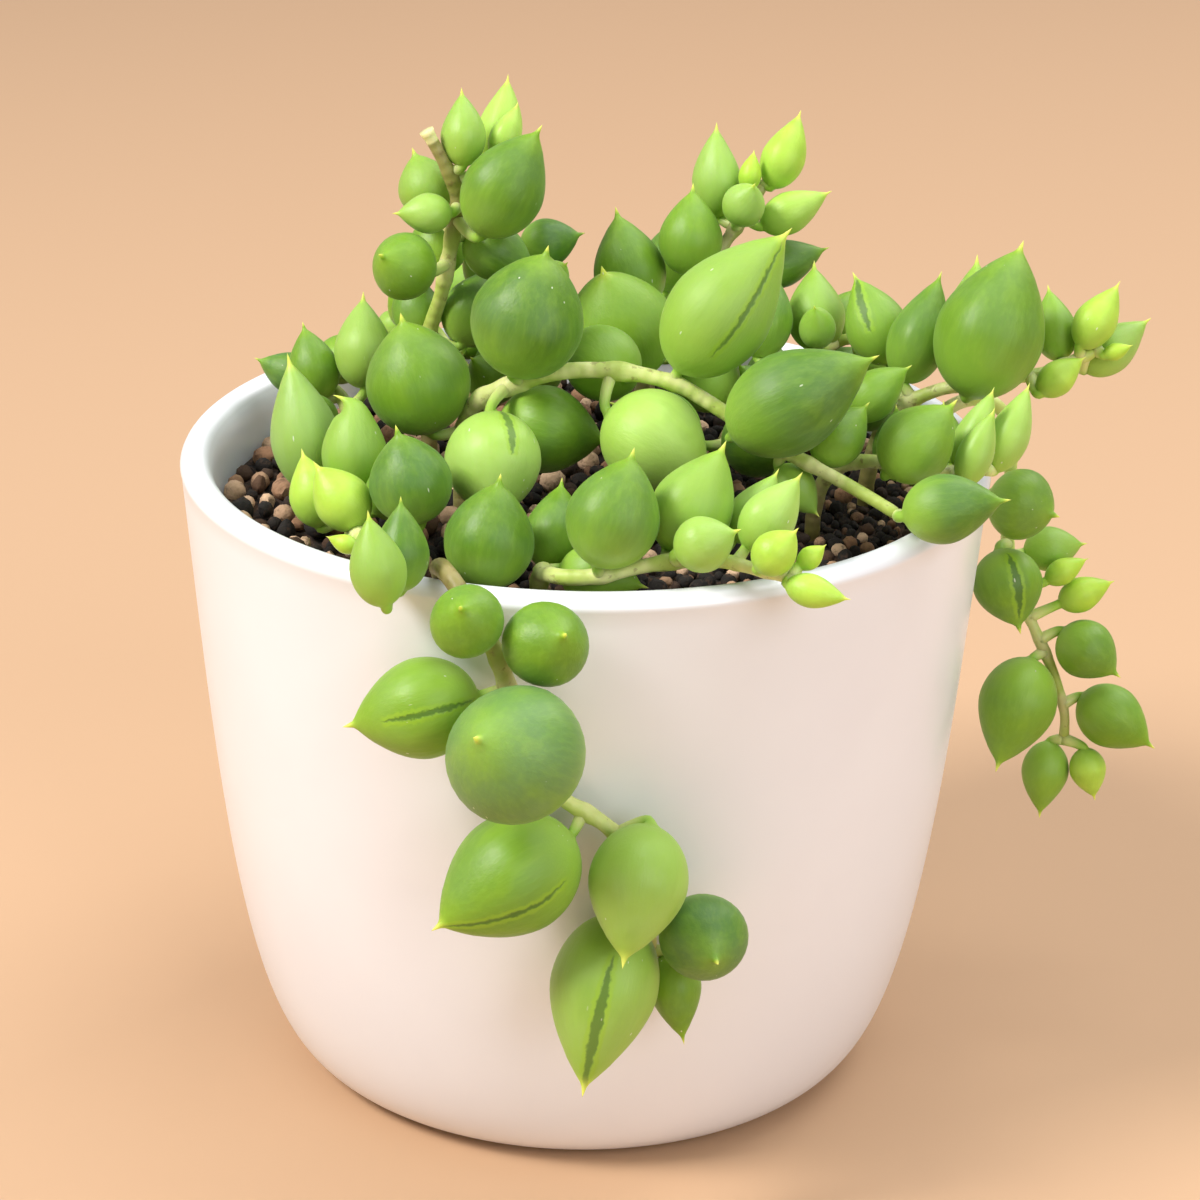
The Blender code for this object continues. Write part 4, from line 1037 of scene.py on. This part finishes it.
def leaf_material():
    """Waxy green: yellower when young, and darker below 0 as painted shade; paler at the base and lime
    towards the tip, partly painted glow; yellow at the tip; with bloom, partly painted reflection, and
    windows.
    """
    paint = Paint("leaf_green", 0.42)
    place = paint.attribute("place")
    share, side, front = paint.parts(place)
    youth, slit, seed = paint.parts(paint.attribute("kind"))
    own = paint.times(seed, 40)
    drawn_out = paint.spread(place, (3, 1, 1), own)
    patches = paint.grain(paint.spread(place, (6, 0.35, 0.35), own), 0.55, 3)
    streaks = paint.grain(paint.spread(place, (1.6, 0.5, 0.5), own), 0.9, 2)
    lines = paint.grain(drawn_out, 1.9, 3, 0.6)
    window, band = window_masks(paint, place, side, front, slit, own)
    specks = speck_mask(paint, drawn_out)

    green = paint.layer(BLUE_GREEN, (
        (seed, 0, 0.55, 1, OLD_GREEN),
        (seed, 0.5, 1, 0.55, YELLOW_GREEN),
        # A youth below 0 darkens the leaf with painted shade
        (youth, 0, -0.5, 0.8, PAINTED_SHADE_GREEN),
        (youth, 0.05, 0.4, 1, YELLOW_GREEN),
        (youth, 0.3, 0.75, 0.9, PALE_GREEN),
        (youth, 0.65, 1, 1, YOUNG_GREEN),
        # A shade below 0 lays pale bluish bloom over the whole leaf: partly waxy bloom, partly painted
        # reflection
        (seed, 0, -0.5, 0.7, BLOOM_AND_REFLECTION_GREEN),
        (patches, 0.35, 0.75, 0.3, YELLOW_GREEN),
    ))
    old = paint.minus(1, paint.fade(youth, 0, 1))
    bloom = paint.times(paint.fade(patches, 0.62, 0.3, 0, 0.28), old)
    green = paint.layer(paint.blend(bloom, green, BLOOM_AND_REFLECTION_GREEN), (
        (streaks, 0.48, 0.7, 0.16, LIME),
        (streaks, 0.46, 0.28, 0.1, OLD_GREEN),
        (lines, 0.4, 0.7, 0.1, PALE_BASE),
        # Lime towards the tip and pale at the base: partly the leaf's own colour, partly painted glow of
        # light through it
        (share, 0.74, 1, 0.6, LIME),
        (share, 0.5, -0.05, 0.8, PALE_BASE),
        (share, -0.05, -0.25, 0.7, STEM_CREAM),
    ))
    green = paint.blend(paint.times(paint.minus(band, window), 0.5), green, LIME)
    green = paint.blend(paint.times(window, 0.7), green, WINDOW_GREEN)
    tip_start = paint.minus(0.93, paint.times(youth, 0.12))
    green = paint.layer(green, (
        (share, tip_start, 0.985, 0.9, TIP_YELLOW),
        (share, 0.985, 1, 0.55, TIP_BROWN),
    ))
    green = paint.blend(paint.times(specks, 0.75), green, SPECK_WHITE)

    height = paint.plus(paint.times(paint.grain(drawn_out, 6), 0.35), lines)
    height = paint.plus(height, paint.times(specks, 0.8))
    height = paint.minus(height, paint.times(window, 0.9))
    return paint.finish({
        "Base Color": green,
        "Roughness": paint.fade(patches, 0.3, 0.7, 0.52, 0.42),
        "Normal": paint.bump(height, 0.00006, 0.8),
        "Subsurface Weight": 0.25,
        "Subsurface Radius": (0.55, 1, 0.2),
        "Subsurface Scale": 0.0022,
        "Specular IOR Level": 0.42,
        "Sheen Weight": 0.07,
        "Sheen Roughness": 0.4,
        "Sheen Tint": (0.82, 1, 0.78),
    })


def window_masks(paint, place, side, front, slit, own):
    """The dark window on a leaf's front meridian, with uneven edges, and the same with a band round it."""
    ragged = paint.grain(paint.spread(place, (14, 0.8, 0), own), 1.6, 3, 0.55)
    drift = paint.times(paint.minus(ragged, 0.5), 0.75)
    away = paint.maths("ABSOLUTE", paint.plus(side, drift))
    shown = paint.times(paint.fade(front, 0, 0.3), paint.fade(slit, 0.02, 0.1))
    edges = [paint.minus(paint.plus(slit, extra), away) for extra in (0, 0.45)]
    return [paint.times(paint.fade(edge, -0.1, 0.18), shown) for edge in edges]


def speck_mask(paint, place):
    """A few pale specks."""
    cells = paint.put("TexVoronoi", {"Vector": place, "Scale": 0.85})
    chosen = paint.parts(cells["Color"])[0]
    dots = paint.fade(cells["Distance"], 0.085, 0.05)
    return paint.times(dots, paint.fade(chosen, 0.72, 0.74))


def stem_material():
    """Pale green skin that turns brown and woody in streaks and near the root, where on the trailing front
    stem it is also painted shade, with fine dark marks.
    """
    paint = Paint("stem_skin", 0.5)
    place = paint.place()
    reach, _, cut = paint.parts(paint.attribute("place"))
    # brown holds the root brown, which is painted shade on the trailing front stem's arc
    brown = paint.parts(paint.attribute("kind"))[1]
    spots = paint.grain(place, 900, 3, 0.6)
    broad = paint.grain(place, 260)
    brown_and_shade_level = paint.plus(paint.times(brown, 0.75), paint.times(broad, 0.5))
    woody = paint.times(paint.fade(brown_and_shade_level, 0.35, 0.95), 0.8)
    skin = paint.layer(STEM_GREEN, ((broad, 0.35, 0.65, 1, STEM_CREAM),))
    skin = paint.blend(woody, skin, STEM_BROWN)
    skin = paint.layer(skin, ((spots, 0.6, 0.7, 0.5, STEM_BROWN), (cut, 0.3, 0.9, 1, CALLUS_CREAM)))
    rings = paint.maths("SINE", paint.times(reach, 5))
    height = paint.plus(paint.times(rings, 0.25), spots)
    return paint.finish({
        "Base Color": skin,
        "Normal": paint.bump(height, 0.00012, 0.7),
        "Subsurface Weight": 0.2,
        "Subsurface Radius": (0.6, 0.9, 0.25),
        "Subsurface Scale": 0.0012,
    })


def glaze_material():
    """Satin white glaze, a little uneven, and bare clay under the foot."""
    paint = Paint("satin_glaze", 0.34)
    place = paint.place()
    tint = paint.grain(place, 38, 3)
    bare = paint.fade(paint.parts(place)[2], 0.0006, 0.0001)
    white = paint.layer(GLAZE_WHITE, ((tint, 0.35, 0.65, 1, GLAZE_SHADE),))
    rough = paint.fade(paint.grain(place, 90), 0.3, 0.7, 0.3, 0.38)
    return paint.finish({
        "Base Color": paint.blend(bare, white, BISQUE),
        "Roughness": paint.plus(rough, paint.times(bare, 0.4)),
        "Normal": paint.bump(paint.grain(place, 120), 0.00012, 0.35),
        "Coat Weight": 0.25,
        "Coat Roughness": 0.22,
    })


def bed_material():
    """Dark fine soil."""
    paint = Paint("dark_soil", 0.95)
    mottle = paint.grain(paint.place(), 700, 4, 0.7)
    dark = paint.layer(GRAIN_BLACK, ((mottle, 0.4, 0.65, 1, GRAIN_DARK),))
    return paint.finish({"Base Color": dark, "Normal": paint.bump(mottle, 0.0006)})


def granule_material():
    """Granules in black, dark brown, red-brown and tan."""
    paint = Paint("granules", 0.9)
    colour = paint.parts(paint.attribute("kind"))[0]
    mottle = paint.grain(paint.place(), 1100, 4, 0.7)
    tone = paint.layer(GRAIN_BLACK, (
        (colour, 0.3, 0.5, 1, GRAIN_DARK),
        (colour, 0.5, 0.62, 1, GRAIN_RED),
        (colour, 0.7, 0.84, 1, GRAIN_TAN),
        (mottle, 0.5, 0.3, 0.6, GRAIN_DARK),
    ))
    return paint.finish({"Base Color": tone, "Normal": paint.bump(mottle, 0.0003)})


def build_floor():
    """A plain pale floor."""
    bpy.ops.mesh.primitive_plane_add(size=FLOOR_SIZE)
    floor = bpy.context.object
    floor.name = "floor"
    floor.data.materials.append(Paint("floor_beige", 0.7).finish({"Base Color": FLOOR_BEIGE}))


def aimed(name, data, place, roll=0):
    """A light or camera at a place, aimed at the camera's target."""
    obj = bpy.data.objects.new(name, data)
    towards = Vector(CAMERA_TARGET) * MM - place
    turn = towards.to_track_quat("-Z", "Y").to_matrix().to_4x4()
    obj.matrix_world = Matrix.Translation(place) @ turn @ Matrix.Rotation(radians(roll), 4, "Z")
    bpy.context.scene.collection.objects.link(obj)
    return obj


def light_scene():
    """Soft light from the upper left, with weaker ones from the front right, back right and overhead."""
    for name, place, side, power, colour in LIGHTS:
        data = bpy.data.lights.new(name, "AREA")
        data.size = side
        data.energy = power
        data.color = colour
        aimed(name, data, Vector(place))
    world = bpy.data.worlds.new("soft_sky")
    world.use_nodes = True
    sky = world.node_tree.nodes["Background"]
    sky.inputs["Color"].default_value = (*WORLD_COLOUR, 1)
    sky.inputs["Strength"].default_value = WORLD_STRENGTH
    bpy.context.scene.world = world
    bpy.context.scene.view_settings.view_transform = "Standard"


def place_camera():
    """The photograph's view: a long lens, from the front and a little above, with a slight roll."""
    data = bpy.data.cameras.new("camera")
    data.lens = LENS
    place = (Vector(CAMERA_TARGET) + Vector(TOWARDS_VIEWER) * CAMERA_DISTANCE) * MM
    bpy.context.scene.camera = aimed("camera", data, place, CAMERA_ROLL)


def main():
    place_camera()
    light_scene()
    build_floor()
    build_pot(glaze_material())
    build_soil([bed_material(), granule_material()])

    grown = {name: [leaf(*row) for row in strand.leaves] + filler_leaves(strand)
             for name, strand in STRANDS.items()}
    every_leaf = [item for items in grown.values() for item in items]
    owners = np.array([i for i, items in enumerate(grown.values()) for _ in items])
    stems = [(strand_route(strand, STEM_SAMPLE), strand.thick[0]) for strand in STRANDS.values()]
    places = settle(every_leaf, owners, stems)
    materials = [leaf_material(), stem_material()]
    for number, (name, strand) in enumerate(STRANDS.items()):
        draw = np.random.default_rng(LEAF_SEED + number)
        build_strand(name, strand, grown[name], places[owners == number], materials, draw)


main()
